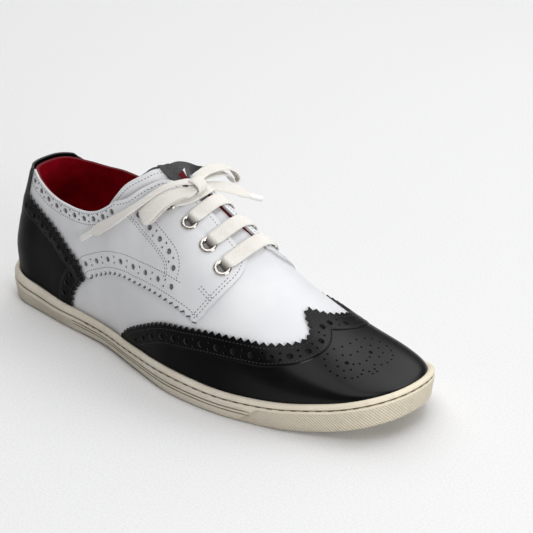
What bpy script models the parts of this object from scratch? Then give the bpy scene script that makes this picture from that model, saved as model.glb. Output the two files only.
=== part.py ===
"""Wingtip derby shoe, right foot: a hollow leather upper on a rubber cup sole.

Tables are in millimetres from the heel's back: x to the toe, y across, z up from the floor.
The scene is in metres, with +X to the toe, -Y to the outer (lateral) side of the foot, +Z up,
and the origin on the floor in the middle of the shoe.
"""

import math

import bmesh
import bpy
import numpy as np
from mathutils import Matrix, Vector
from mathutils.geometry import delaunay_2d_cdt

MM = 0.001
LATERAL, MEDIAL = -1, 1

# Driving sizes, in millimetres
LENGTH = 300.0
MIDDLE_Y = 0.4
HEEL_ROUND, HEEL_POWER = 34.0, 2.1
TOE_ROUND, TOE_POWER = 52.6, 2.14
TOE_CAP_POWER = 2.6
FIT_GAP = 0.3
RIM_INNER = 4.4
UPPER_INSET = 4.8
UPPER_WALL = 1.8
OVERLAY_GAP = 0.4
OVERLAY_WALL = 1.2
FACING_TOP = OVERLAY_GAP + OVERLAY_WALL
INSOLE_INSET = 7.2
INSOLE_THICK = 3.0
TREAD_STEP = 1.6
TONGUE_WALL = 2.0
TONGUE_SINK = UPPER_WALL + 0.85
LEAN_REACH, LEAN_POWER = 70.0, 1.5
EYELET_HOLE, EYELET_BORE, EYELET_BARREL, EYELET_RIM = 3.1, 2.2, 2.7, 4.6
EYELET_PLATE = 0.8
LACE_WIDTH, LACE_THICK = 8.4, 1.1
LOOP_THICK = 2 * LACE_THICK + FIT_GAP
LACE_CLEAR = 0.6
KNOT_SIZE = (9.0, 9.0, 6.5)

# Mesh fineness
STATIONS, GIRTH_ROWS, RING_SIDE, INSOLE_SIDE = 31, 11, 29, 25
FACING_STATIONS = (112.0, 118.0, 123.5, 128.5, 133.0, 138.0)
STATION_CLEAR = 0.4
PANEL_STEP, TIP_STEP, LACE_STEP = 7.0, 20.0, 5.0
PANEL_CLEAR = 2.6
GIRTH_SCALE = 75.0
TOE_TIP_TURN = 0.008
INSIDE_ONLY = 1
EYELET_SIDES, BAR_STEPS = 10, 9
KNOT_SIDES, KNOT_RINGS = 12, 6
HOLE_DEPTH = 8.0
SOFT_ANGLE, CRISP_ANGLE = 60, 40
WELD, SLIVER, TINY = 0.01, 0.001, 1e-9


def table(text):
    """Columns of a table written as text, by the names in its first line."""
    head, *rows = [line.split() for line in text.strip().splitlines()]
    return {name: np.array([float(row[i]) for row in rows]) for i, name in enumerate(head)}


# Plan of the sole's edge: half widths from the axis, before the ends are rounded
PLAN = table("""
x    lateral  medial  axis
0    34.3     34.0    0
30   32.2     34.5    0
65   34.9     33.0    0
105  36.9     31.0    0
140  44.4     33.0    0
175  51.0     40.0    0
210  50.3     46.0    0.8
240  46.1     46.5    4.2
270  44.0     42.5    12.0
300  43.4     48.0    10.5
""")

# Side of the sole: top of the rim, floor of the cup and tread
SIDE = table("""
x    rim    floor  tread
0    21.3   13.5   2.0
12   18.8   12.5   0.0
60   14.5   9.5    0.0
75   14.0   9.0    0.0
110  12.8   7.5    0.6
150  13.9   7.5    0.6
175  15.1   7.5    0.0
235  14.4   7.5    0.0
270  18.4   10.5   3.0
300  25.9   18.0   11.2
""")

# The last, a section a row: ridge, how high its walls stand, how they flare, and how full its
# crown is on the outer and on the inner side
LAST = table("""
x    ridge_z  ridge_y  wall  flare  crown  inner
0    120      0        0.30  1.0    0.92   0.92
30   128      0        0.32  1.5    0.92   0.92
60   134      0        0.34  1.5    0.92   0.92
90   136      0        0.36  1.5    0.88   0.88
110  130      0        0.40  1.5    0.78   0.78
120  121      0        0.42  1.5    0.68   0.70
130  110      0        0.44  1.5    0.61   0.66
137  103.5    0        0.45  1.5    0.59   0.67
159  92.5     0        0.48  1.5    0.58   0.70
176  84.5     0        0.50  1.5    0.58   0.70
189  77.5     0.5      0.52  2.0    0.58   0.70
200  71.0     1.0      0.54  2.0    0.60   0.70
215  61.5     2.0      0.56  2.0    0.62   0.68
230  52.5     4.0      0.58  2.0    0.64   0.66
250  41.0     7.0      0.60  1.6    0.66   0.66
265  34.5     9.0      0.62  1.2    0.68   0.68
280  30.5     10.0     0.64  0.8    0.70   0.70
300  28.0     10.0     0.66  0.5    0.72   0.72
""")

# Lean of the heel's back: how far forward it stands at each height over the rim
LEAN = table("""
x    forward
0    0
6    -0.9
16   -1.9
32   0.6
47   6.0
62   12.0
72   15.5
100  23.0
""")

# Top edge of the upper along the collar, the facings and the throat, as a share of the girth
TRIM = table("""
x    lateral  medial
0    0.540    0.540
15   0.537    0.497
22   0.530    0.466
28   0.520    0.452
36   0.493    0.446
46   0.459    0.444
58   0.430    0.442
70   0.412    0.436
80   0.402    0.430
90   0.408    0.430
100  0.434    0.448
110  0.490    0.500
120  0.575    0.580
128  0.720    0.722
134  0.862    0.866
139  0.920    0.932
150  0.934    0.960
168  0.936    0.970
181  0.912    0.962
196  0.892    0.940
""")
THROAT_X, VAMP_X = 196.0, 200.5

# Edges of the overlays: place along the foot and share of the girth
WING_EDGE = table("""
x      girth
121.2  0.008
132.6  0.063
149.3  0.142
165.7  0.207
187.0  0.278
206.1  0.361
222.3  0.448
231.9  0.513
239.5  0.618
242.4  0.735
240.8  0.845
236.0  0.915
229.5  1.000
""")
COUNTER_EDGE = table("""
x     girth
24.0  0.418
36.2  0.380
45.5  0.352
57.3  0.320
66.7  0.286
74.0  0.253
82.2  0.219
87.7  0.178
""")
COUNTER_FOOT = table("""
x     girth
88.8  0.160
82.7  0.128
77.5  0.086
74.5  0.034
74.6  0.008
""")
FACING_FRONT = table("""
x      girth
196.0  0.892
199.2  0.815
200.1  0.732
198.3  0.573
193.9  0.405
190.9  0.339
""")
QUARTER_FOOT = table("""
x      girth
190.9  0.339
181.2  0.348
160.1  0.336
136.5  0.300
118.5  0.253
100.3  0.202
92.5   0.179
90.2   0.165
""")
TONGUE_TOP = table("""
x      girth
100.5  0.400
103.0  0.455
111.9  0.560
122.3  0.715
126.8  0.830
129.2  0.905
130.2  1.000
""")
TONGUE_SIDE = table("""
x      girth
100.5  0.400
120.0  0.490
140.0  0.570
160.0  0.640
185.0  0.710
206.0  0.800
""")

# Eyelets, from the top: place along the foot, share of the girth on both sides, and how far the
# bar of lace between them bows to the toe
EYELETS = table("""
x      lateral  medial  bow
143.0  0.765    0.800   6.0
160.3  0.785    0.820   1.5
176.8  0.763    0.800   1.5
190.5  0.719    0.760   1.5
""")

# Lace routes from the knot, and the ways that a band faces at the knot and at its end
NEAR_END = table("""
x      y      z
149.2  -8.2   106.2
143.4  -14.2  104.5
138.3  -20.2  100.5
132.9  -25.7  94.9
126.2  -30.0  88.8
118.0  -32.2  82.4
109.0  -32.8  76.2
98.0   -33.2  69.0
88.0   -33.4  62.2
""")
NEAR_LOOP = table("""
x      y      z
153.4  -9.7   101.6
150.1  -13.2  100.9
146.4  -17.8  98.8
142.6  -22.4  95.0
138.8  -25.9  90.2
135.4  -27.8  86.4
""")
FAR_LOOP = table("""
x      y     z
150.1  0.1   105.0
148.5  6.4   106.4
148.2  13.8  106.6
148.2  21.3  105.4
149.0  26.5  102.2
150.2  28.8  98.4
""")
FAR_END = table("""
x      y     z
152.6  1.0   101.8
153.5  9.3   99.9
156.0  14.8  98.5
159.0  19.9  96.4
162.0  24.9  93.5
165.0  30.1  90.7
168.0  36.3  87.9
""")
NEAR_END_FACES = (-0.10, -0.40, 0.91), (0.0, -0.97, 0.25)
NEAR_LOOP_FACES = (0.25, -0.55, 0.80), (0.10, -0.80, 0.60)
FAR_LOOP_FACES = (0.10, -0.20, 0.97), (0.20, 0.90, 0.40)
FAR_END_FACES = (0.25, 0.20, 0.95), (0.25, 0.35, 0.90)
KNOT_X, KNOT_GIRTH, KNOT_LIFT = 150.5, 0.961, 6.6

# Side of the sole from tread to cup: inset, share of the height from tread to rim, added height,
# and how much deeper the row is in the ribbed waist
SOLE_WALL = table("""
inset  share  add   rib
6.2    0.00   0.0   0.0
5.4    0.00   1.6   0.0
2.7    0.00   1.6   0.0
1.4    0.00   2.8   0.0
0.9    0.30   0.0   0.0
0.8    0.36   0.0   0.8
0.5    0.42   0.0   0.0
0.4    0.49   0.0   0.8
0.2    0.55   0.0   0.0
0.0    1.00   -5.2  0.0
0.2    1.00   -4.6  0.0
1.0    1.00   -4.2  0.0
0.4    1.00   -3.6  0.0
0.2    1.00   -2.3  0.0
0.9    1.00   -1.1  0.0
2.2    1.00   -0.7  0.0
4.4    1.00   -0.7  0.0
""")
RIB_FROM, RIB_TO = 78.0, 212.0
WAIST_FROM, WAIST_TO = 76.0, 170.0
BLEND = 5.0


def smooth(rows, column, x):
    """A column at x, on a smooth curve through the table's rows."""
    xs, ys = rows["x"], rows[column]
    slope = np.empty_like(ys)
    slope[1:-1] = (ys[2:] - ys[:-2]) / (xs[2:] - xs[:-2])
    slope[0] = (ys[1] - ys[0]) / (xs[1] - xs[0])
    slope[-1] = (ys[-1] - ys[-2]) / (xs[-1] - xs[-2])
    x = np.clip(np.asarray(x, float), xs[0], xs[-1])
    i = np.clip(np.searchsorted(xs, x, side="right") - 1, 0, len(xs) - 2)
    step = xs[i + 1] - xs[i]
    t = (x - xs[i]) / step
    start = (1 + 2 * t) * (1 - t) ** 2 * ys[i] + t * (1 - t) ** 2 * step * slope[i]
    end = t * t * (3 - 2 * t) * ys[i + 1] + t * t * (t - 1) * step * slope[i + 1]
    return start + end


def between(x, low, high):
    """1 from low to high and 0 outside, with soft ends."""
    rise = np.clip((x - low) / BLEND + 0.5, 0, 1)
    fall = np.clip((high - x) / BLEND + 0.5, 0, 1)
    return rise * fall


def round_ends(x, inset):
    """Share of the half width that the round heel and toe leave, on an outline moved in by inset."""
    heel = np.clip((HEEL_ROUND - x) / (HEEL_ROUND - inset), 0, 1)
    toe_from = LENGTH - TOE_ROUND
    toe = np.clip((x - toe_from) / (TOE_ROUND - inset), 0, 1)
    return (1 - heel**HEEL_POWER) ** (1 / HEEL_POWER) * (1 - toe**TOE_POWER) ** (1 / TOE_POWER)


def edge_y(x, side, inset):
    """The plan's edge on one side of the foot, moved in by inset."""
    half = smooth(PLAN, "lateral" if side == LATERAL else "medial", x) - inset
    return smooth(PLAN, "axis", x) + side * half * round_ends(x, inset)


def station_x(turn, inset):
    """Place along the foot for a turn from 0 at the heel to pi at the toe, closer rows at both ends."""
    return inset + (LENGTH - 2 * inset) * (1 - np.cos(turn)) / 2


def turn_of(x):
    """The turn of a place along the upper."""
    return np.arccos(np.clip(1 - 2 * (x - UPPER_INSET) / (LENGTH - 2 * UPPER_INSET), -1, 1))


def last_half(x, side, v):
    """Points of the last on one side, v being the share of the girth from the rim to the ridge."""
    y0 = edge_y(x, side, UPPER_INSET)
    z0 = smooth(SIDE, "rim", x)
    axis = smooth(PLAN, "axis", x)
    toe_from = LENGTH - TOE_ROUND
    toe = np.clip((x - toe_from) / (TOE_ROUND - UPPER_INSET), 0, 1)
    close = (1 - toe**TOE_CAP_POWER) ** (1 / TOE_CAP_POWER)
    rise = (smooth(LAST, "ridge_z", x) - z0) * close
    y3 = axis + (smooth(LAST, "ridge_y", x) - axis) * close
    y1 = y0 + side * smooth(LAST, "flare", x) * round_ends(x, UPPER_INSET)
    y2 = y3 + smooth(LAST, "crown" if side == LATERAL else "inner", x) * (y0 - y3)
    b0, b1, b2, b3 = (1 - v) ** 3, 3 * v * (1 - v) ** 2, 3 * v * v * (1 - v), v**3
    y = b0 * y0 + b1 * y1 + b2 * y2 + b3 * y3
    over_rim = rise * (b1 * smooth(LAST, "wall", x) + b2 + b3)
    fade = np.clip(1 - (x - UPPER_INSET) / LEAN_REACH, 0, 1) ** LEAN_POWER
    return np.stack([x + smooth(LEAN, "forward", over_rim) * fade, y, z0 + over_rim], -1)


def skin(p, q):
    """The last by p, the turn along the foot (under 0 is the medial side of the heel), and
    q, the girth (over 1 is the medial side beyond the ridge)."""
    p, q = np.broadcast_arrays(np.asarray(p, float), np.asarray(q, float))
    x = station_x(np.abs(p), UPPER_INSET)
    v = np.where(q > 1, 2 - q, q)
    medial = (p < 0) ^ (q > 1)
    return np.where(medial[..., None], last_half(x, MEDIAL, v), last_half(x, LATERAL, v))


def skin_normal(p, q, step=0.004):
    """Outward unit normals of the last."""
    p, q = np.broadcast_arrays(np.asarray(p, float), np.asarray(q, float))
    along = skin(np.minimum(p + step, math.pi), q) - skin(p - step, q)
    up = skin(p, np.minimum(q + step, 2)) - skin(p, np.maximum(q - step, 0))
    normal = np.cross(along, up)
    return normal / np.maximum(np.linalg.norm(normal, axis=-1, keepdims=True), TINY)


def lifted(p, q, height):
    """Points at a height over the last."""
    return skin(p, q) + skin_normal(p, q) * np.asarray(height, float)[..., None]


def trim(x, side):
    """The girth at which the upper ends: its collar and facings, or the ridge where it is closed."""
    edge = smooth(TRIM, "lateral" if side == LATERAL else "medial", x)
    return np.where(np.asarray(x) > THROAT_X + 1, 1.0, edge)


def upper_stations():
    """Turns of the upper's sections, closer where the collar rises to the facings."""
    placed = turn_of(np.array((*FACING_STATIONS, THROAT_X, VAMP_X)))
    even = np.linspace(0, math.pi, STATIONS)
    clear = np.abs(even[:, None] - placed[None]).min(axis=1) > STATION_CLEAR * math.pi / STATIONS
    return np.sort(np.r_[even[clear], placed])


def spread(points, step):
    """A smooth curve through rows of (p, q), read at even steps of about the given length."""
    scale = np.array([LENGTH / math.pi, GIRTH_SCALE])
    scaled = np.asarray(points) * scale
    at = np.r_[0, np.cumsum(np.linalg.norm(np.diff(scaled, axis=0), axis=1))]
    count = max(2, round(at[-1] / step) + 1)
    read = np.linspace(0, at[-1], count)
    columns = {"x": at, "p": scaled[:, 0], "q": scaled[:, 1]}
    return np.stack([smooth(columns, "p", read), smooth(columns, "q", read)], -1) / scale


def edge_run(rows, x_shift=0.0, girth_shift=0.0):
    """An overlay's edge from its table, as rows of (p, q)."""
    return np.stack([turn_of(rows["x"] + x_shift), rows["girth"] + girth_shift], -1)


def joined(*runs):
    """One outline from runs whose ends meet."""
    points = np.concatenate(runs)
    gap = np.linalg.norm(points - np.roll(points, 1, axis=0), axis=1)
    return points[gap > 1e-4]


# Blender helpers


def finish(name, colour, roughness, metallic=0.0):
    material = bpy.data.materials.new(name)
    material.use_nodes = True
    shader = material.node_tree.nodes["Principled BSDF"]
    shader.inputs["Base Color"].default_value = (*colour, 1)
    shader.inputs["Roughness"].default_value = roughness
    shader.inputs["Metallic"].default_value = metallic
    return material


def world(points):
    """Table millimetres as scene metres."""
    return (np.asarray(points, float) - (LENGTH / 2, MIDDLE_Y, 0)) * MM


def add_mesh(name, points, faces, material, smooth_angle=CRISP_ANGLE):
    """A named object from points in table millimetres; doubled points are welded."""
    mesh = bpy.data.meshes.new(name)
    mesh.from_pydata(world(points).tolist(), [], [list(map(int, face)) for face in faces])
    work = bmesh.new()
    work.from_mesh(mesh)
    bmesh.ops.remove_doubles(work, verts=work.verts, dist=WELD * MM)
    bmesh.ops.dissolve_degenerate(work, edges=work.edges, dist=SLIVER * MM)
    work.to_mesh(mesh)
    work.free()
    mesh.materials.append(material)
    mesh.shade_smooth()
    mesh.set_sharp_from_angle(angle=math.radians(smooth_angle))
    obj = bpy.data.objects.new(name, mesh)
    parts.objects.link(obj)
    return obj


def thicken(obj, wall, outward):
    """Gives an open surface its wall, in millimetres."""
    shell = obj.modifiers.new("wall", "SOLIDIFY")
    shell.thickness = wall * MM
    shell.offset = 1 if outward else -1
    shell.use_even_offset = False
    shell.use_quality_normals = True


def grid_faces(rows, columns, first=0):
    """Quads of a grid of points stored row by row."""
    faces = []
    for i in range(rows - 1):
        for j in range(columns - 1):
            a = first + i * columns + j
            faces.append((a, a + 1, a + columns + 1, a + columns))
    return faces


def ring(inset, count, height):
    """A closed outline of the plan: lateral side from heel to toe, then the medial side back."""
    turns = np.linspace(0, math.pi, count)
    x = station_x(turns, inset)
    lateral = np.stack([x, edge_y(x, LATERAL, inset), height(x)], -1)
    medial = np.stack([x, edge_y(x, MEDIAL, inset), height(x)], -1)
    return np.concatenate([lateral, medial[-2:0:-1]])


def ring_bridge(first, second, count):
    """Quads between two rings of count points, given their first indices, facing out when rising."""
    return [
        (first + i, first + (i + 1) % count, second + (i + 1) % count, second + i)
        for i in range(count)
    ]


def ladder(first, side_count, upward):
    """Faces across a ring, from its lateral to its medial side."""
    count = 2 * side_count - 2
    faces = []
    for i in range(side_count - 1):
        lateral = (first + i, first + i + 1)
        medial = (first + (count - i) % count, first + (count - i - 1) % count)
        face = [lateral[0], lateral[1], medial[1], medial[0]]
        face = list(dict.fromkeys(face))
        faces.append(face if upward else face[::-1])
    return faces


# The pieces


def make_sole(material):
    def height(share, add, pad):
        def at(x):
            tread = np.maximum(smooth(SIDE, "tread", x), 0)
            lift = add if not pad else TREAD_STEP * between(x, WAIST_FROM, WAIST_TO)
            return tread + share * (smooth(SIDE, "rim", x) - tread) + lift

        return at

    count = 2 * RING_SIDE - 2
    rings = []
    for k in range(len(SOLE_WALL["inset"])):
        inset, share, add, rib = (SOLE_WALL[c][k] for c in ("inset", "share", "add", "rib"))
        points = ring(inset, RING_SIDE, height(share, add, k == 0))
        if rib:
            axis = smooth(PLAN, "axis", points[:, 0])
            depth = rib * between(points[:, 0], RIB_FROM, RIB_TO)
            points[:, 1] -= depth * np.sign(points[:, 1] - axis)
        rings.append(points)
    rings.append(ring(RIM_INNER, RING_SIDE, lambda x: smooth(SIDE, "floor", x)))
    faces = ladder(0, RING_SIDE, upward=False)
    for k in range(len(rings) - 1):
        faces += ring_bridge(k * count, (k + 1) * count, count)
    faces += ladder((len(rings) - 1) * count, RING_SIDE, upward=True)
    return add_mesh("sole", np.concatenate(rings), faces, material)


def make_insole(material):
    count = 2 * INSOLE_SIDE - 2
    low = ring(INSOLE_INSET, INSOLE_SIDE, lambda x: smooth(SIDE, "floor", x) + FIT_GAP)
    high = low + (0, 0, INSOLE_THICK)
    faces = ladder(0, INSOLE_SIDE, upward=False) + ring_bridge(0, count, count)
    faces += ladder(count, INSOLE_SIDE, upward=True)
    return add_mesh("insole", np.concatenate([low, high]), faces, material)


def make_upper(material):
    """The hollow upper: open underneath, at the collar and along the throat."""
    turns = upper_stations()
    x = station_x(turns, UPPER_INSET)
    points, faces = [], []
    for side in (LATERAL, MEDIAL):
        share = np.linspace(0, 1, GIRTH_ROWS)[:, None] * trim(x, side)[None]
        rows = last_half(np.broadcast_to(x, share.shape), side, share)
        foot = rows[:1].copy()
        foot[..., 2] = smooth(SIDE, "floor", x) + FIT_GAP
        rows = np.concatenate([foot, rows])
        quads = grid_faces(GIRTH_ROWS + 1, len(x), sum(map(len, points)))
        faces += quads if side == LATERAL else [quad[::-1] for quad in quads]
        points.append(rows.reshape(-1, 3))
    upper = add_mesh("upper", np.concatenate(points), faces, material, SOFT_ANGLE)
    thicken(upper, UPPER_WALL, outward=False)
    return upper


def inside(outline, points, clear):
    """Which points lie in the outline, and further than clear from its edge, in scaled units."""
    a, b = outline, np.roll(outline, -1, axis=0)
    crossing = np.zeros(len(points), bool)
    nearest = np.full(len(points), np.inf)
    for start, end in zip(a, b):
        spans = (start[1] > points[:, 1]) != (end[1] > points[:, 1])
        run = end - start
        rise = run[1] if run[1] else TINY
        crossing ^= spans & (points[:, 0] < start[0] + (points[:, 1] - start[1]) * run[0] / rise)
        t = np.clip((points - start) @ run / max(run @ run, TINY), 0, 1)
        nearest = np.minimum(nearest, np.linalg.norm(points - start - t[:, None] * run, axis=1))
    return crossing & (nearest > clear)


def lattice():
    """Points of the upper's own sections on both sides, as (p, q), round the heel and over the ridge."""
    turns = upper_stations()
    x = station_x(turns, UPPER_INSET)
    rows = np.linspace(0, 1, GIRTH_ROWS)[:, None]
    lateral, medial = rows * trim(x, LATERAL), rows * trim(x, MEDIAL)
    p = np.broadcast_to(turns, lateral.shape)
    sets = [(p, lateral), (-p, medial), (p, 2 - medial)]
    return np.concatenate([np.stack(s, -1).reshape(-1, 2) for s in sets])


def make_panel(name, outline, height, wall, material):
    """A leather piece cut to an outline of (p, q), laid over the last at a height, its wall outwards."""
    scale = np.array([LENGTH / math.pi, GIRTH_SCALE])
    edge = outline * scale
    fill = lattice() * scale
    fill = fill[inside(edge, fill, PANEL_CLEAR)]
    flat = [Vector(point) for point in np.concatenate([edge, fill])]
    cut = delaunay_2d_cdt(flat, [], [list(range(len(edge)))], INSIDE_ONLY, TINY)
    at = np.array([tuple(point) for point in cut[0]]) / scale
    points = lifted(at[:, 0], at[:, 1], np.full(len(at), height))
    panel = add_mesh(name, points, cut[2], material, SOFT_ANGLE)
    thicken(panel, wall, outward=True)
    return panel


def mirrored(outline):
    """An outline of (p, q) on the other side of the ridge."""
    return outline * (1, -1) + (0, 2)


def make_wing_cap(material):
    wing = spread(edge_run(WING_EDGE), PANEL_STEP)
    tip_turn, foot_girth = math.pi - TOE_TIP_TURN, wing[0, 1]
    foot = spread([wing[0], (tip_turn, foot_girth)], PANEL_STEP)
    tip = spread([(tip_turn, foot_girth), (tip_turn, 2 - foot_girth)], TIP_STEP)
    outline = joined(foot, tip, mirrored(foot)[::-1], mirrored(wing), wing[::-1])
    make_panel("wing_cap", outline, OVERLAY_GAP, OVERLAY_WALL, material)


def make_quarter(name, side, material):
    back = spread(edge_run(COUNTER_EDGE, x_shift=2 * FIT_GAP), PANEL_STEP)[::-1]
    corner = COUNTER_EDGE["x"][0] + 2 * FIT_GAP
    rows = TRIM["x"][TRIM["x"] > corner]
    top_x = np.sort(np.r_[corner, rows, (rows[1:] + rows[:-1]) / 2])
    top = np.stack([turn_of(top_x), trim(top_x, side)], -1)
    front_rows = edge_run(FACING_FRONT)
    front_rows[0] = top[-1]
    front = spread(front_rows, PANEL_STEP)
    low = spread(edge_run(QUARTER_FOOT), PANEL_STEP)
    outline = joined(top, front, low, back)
    if side == MEDIAL:
        outline = mirrored(outline)[::-1]
    make_panel(name, outline, OVERLAY_GAP, OVERLAY_WALL, material)


def make_heel_counter(material):
    foot_rise = spread(edge_run(COUNTER_FOOT), PANEL_STEP)[::-1]
    edge = spread(edge_run(COUNTER_EDGE), PANEL_STEP)[::-1]
    lateral = np.concatenate([foot_rise, edge])
    medial = (lateral * (-1, 1))[::-1]
    foot = spread([medial[-1], lateral[0]], PANEL_STEP)
    top_turns = spread([lateral[-1], medial[0]], PANEL_STEP)[:, 0]
    top_x = station_x(np.abs(top_turns), UPPER_INSET)
    top_girth = np.where(top_turns > 0, trim(top_x, LATERAL), trim(top_x, MEDIAL))
    outline = joined(foot, lateral, np.stack([top_turns, top_girth], -1), medial)
    make_panel("heel_counter", outline, OVERLAY_GAP, OVERLAY_WALL, material)


def make_tongue(material):
    top = spread(edge_run(TONGUE_TOP), PANEL_STEP)
    side = spread(edge_run(TONGUE_SIDE), PANEL_STEP)
    lateral = np.concatenate([top[::-1], side[1:]])
    outline = joined(lateral, mirrored(lateral)[::-1])[::-1]
    make_panel("tongue", outline, -TONGUE_SINK - TONGUE_WALL, TONGUE_WALL, material)


def frame_at(p, q, height, step=0.01):
    """World matrix standing on the last: X along the foot, Z along its normal."""
    origin = Vector(world(lifted(p, q, height)))
    normal = Vector(skin_normal(p, q))
    along = Vector(skin(p + step, q) - skin(p - step, q))
    side = normal.cross(along).normalized()
    turn = Matrix((side.cross(normal), side, normal)).transposed()
    return Matrix.Translation(origin) @ turn.to_4x4()


def eyelet_rows():
    """Number, turn, girth on both sides (the medial one over 1) and bow of each pair of eyelets."""
    rows = zip(EYELETS["x"], EYELETS["lateral"], EYELETS["medial"], EYELETS["bow"])
    for number, (x, lateral, medial, bow) in enumerate(rows, 1):
        yield number, x, lateral, 2 - medial, bow


def eyelet_profile():
    """Half section of an eyelet: a rolled plate on the facing and a barrel through it."""
    plate = FACING_TOP + FIT_GAP
    return [
        (EYELET_BORE, plate + 0.6 * EYELET_PLATE),
        (EYELET_BORE + 0.5, plate + EYELET_PLATE),
        (EYELET_RIM - 0.7, plate + 0.8 * EYELET_PLATE),
        (EYELET_RIM, plate),
        (EYELET_BARREL, plate),
        (EYELET_BARREL, -UPPER_WALL),
        (EYELET_BORE, -UPPER_WALL),
    ]


def make_eyelets(material):
    """Turned metal eyelets, and the holes for them in the upper and the quarters."""
    profile = eyelet_profile()
    count = len(profile)
    mesh = bpy.data.meshes.new("eyelet")
    loop = [(i, (i + 1) % count) for i in range(count)]
    mesh.from_pydata([(r * MM, 0, z * MM) for r, z in profile], loop, [])
    mesh.materials.append(material)
    holes = bmesh.new()
    for number, x, lateral, medial, _ in eyelet_rows():
        for side, girth in (("lateral", lateral), ("medial", medial)):
            place = frame_at(turn_of(x), girth, 0.0)
            eyelet = bpy.data.objects.new(f"eyelet_{side}_{number}", mesh)
            eyelet.matrix_world = place
            turned = eyelet.modifiers.new("turn", "SCREW")
            turned.steps = turned.render_steps = EYELET_SIDES
            turned.use_merge_vertices = True
            turned.merge_threshold = WELD * MM
            turned.use_smooth_shade = True
            parts.objects.link(eyelet)
            radius = EYELET_HOLE * MM
            bmesh.ops.create_cone(
                holes, cap_ends=True, segments=EYELET_SIDES, radius1=radius, radius2=radius,
                depth=HOLE_DEPTH * MM, matrix=place,
            )
    cut_holes(holes)


def cut_holes(holes):
    """Cuts the eyelets' holes from the pieces of the facings."""
    mesh = bpy.data.meshes.new("eyelet_holes")
    holes.to_mesh(mesh)
    holes.free()
    cutter = bpy.data.objects.new("eyelet_holes", mesh)
    cutter.hide_render = True
    cutter.display_type = "WIRE"
    cutters.objects.link(cutter)
    for name in ("upper", "quarter_lateral", "quarter_medial"):
        hole = parts.objects[name].modifiers.new("eyelet_holes", "BOOLEAN")
        hole.operation = "DIFFERENCE"
        hole.solver = "EXACT"
        hole.object = cutter


def make_lace_bars(material):
    """Flat bars of lace from eyelet to eyelet: over the plates at both ends, then on the facings."""
    over_plate = FACING_TOP + FIT_GAP + EYELET_PLATE + FIT_GAP
    on_facing = FACING_TOP + LACE_CLEAR
    step_out = (EYELET_RIM + np.array([FIT_GAP, 2.0])) / GIRTH_SCALE
    for number, x, lateral, medial, bow in eyelet_rows():
        middle = np.linspace(lateral + step_out[1], medial - step_out[1], BAR_STEPS)
        girth = np.r_[lateral, lateral + step_out[0], middle, medial - step_out[0], medial]
        height = np.r_[over_plate, over_plate, np.full(BAR_STEPS, on_facing), over_plate, over_plate]
        share = (girth - lateral) / (medial - lateral)
        rows = []
        for offset in (-LACE_WIDTH / 2, 0, LACE_WIDTH / 2):
            turn = turn_of(x + offset + bow * np.sin(math.pi * share))
            rows.append(lifted(turn, girth, height))
        points = np.stack(rows, 1).reshape(-1, 3)
        faces = grid_faces(len(girth), len(rows))
        bar = add_mesh(f"lace_bar_{number}", points, faces, material, SOFT_ANGLE)
        thicken(bar, LACE_THICK, outward=True)


def unit(vectors):
    return vectors / np.linalg.norm(vectors, axis=-1, keepdims=True)


def make_lace_run(name, rows, faces, thick, material):
    """A flat run of lace along its route: a band that turns from one facing to the other."""
    route = np.stack([rows[c] for c in "xyz"], -1)
    along = np.r_[0, np.cumsum(np.linalg.norm(np.diff(route, axis=0), axis=1))]
    read = np.linspace(0, along[-1], round(along[-1] / LACE_STEP) + 1)
    columns = {"x": along, **{str(i): route[:, i] for i in range(3)}}
    middle = np.stack([smooth(columns, str(i), read) for i in range(3)], -1)
    forward = unit(np.gradient(middle, axis=0))
    share = (read / along[-1])[:, None]
    facing = (1 - share) * np.array(faces[0]) + share * np.array(faces[1])
    across = unit(np.cross(facing, forward))
    normal = np.cross(forward, across)
    corners = [(-1, -1), (1, -1), (1, 1), (-1, 1)]
    points = [middle + a * LACE_WIDTH / 2 * across + b * thick / 2 * normal for a, b in corners]
    last = 4 * (len(read) - 1)
    sides = [(3, 2, 1, 0), (last, last + 1, last + 2, last + 3)]
    for i in range(len(read) - 1):
        for k in range(4):
            a, b = 4 * i + k, 4 * i + (k + 1) % 4
            sides.append((a, b, b + 4, a + 4))
    return add_mesh(name, np.stack(points, 1).reshape(-1, 3), sides, material)


def make_knot(material):
    mesh = bpy.data.meshes.new("lace_knot")
    work = bmesh.new()
    size = Matrix.Diagonal([side * MM / 2 for side in KNOT_SIZE]).to_4x4()
    bmesh.ops.create_uvsphere(work, u_segments=KNOT_SIDES, v_segments=KNOT_RINGS, radius=1.0, matrix=size)
    work.to_mesh(mesh)
    work.free()
    mesh.materials.append(material)
    mesh.shade_smooth()
    knot = bpy.data.objects.new("lace_knot", mesh)
    knot.matrix_world = frame_at(turn_of(KNOT_X), KNOT_GIRTH, KNOT_LIFT)
    parts.objects.link(knot)


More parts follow.
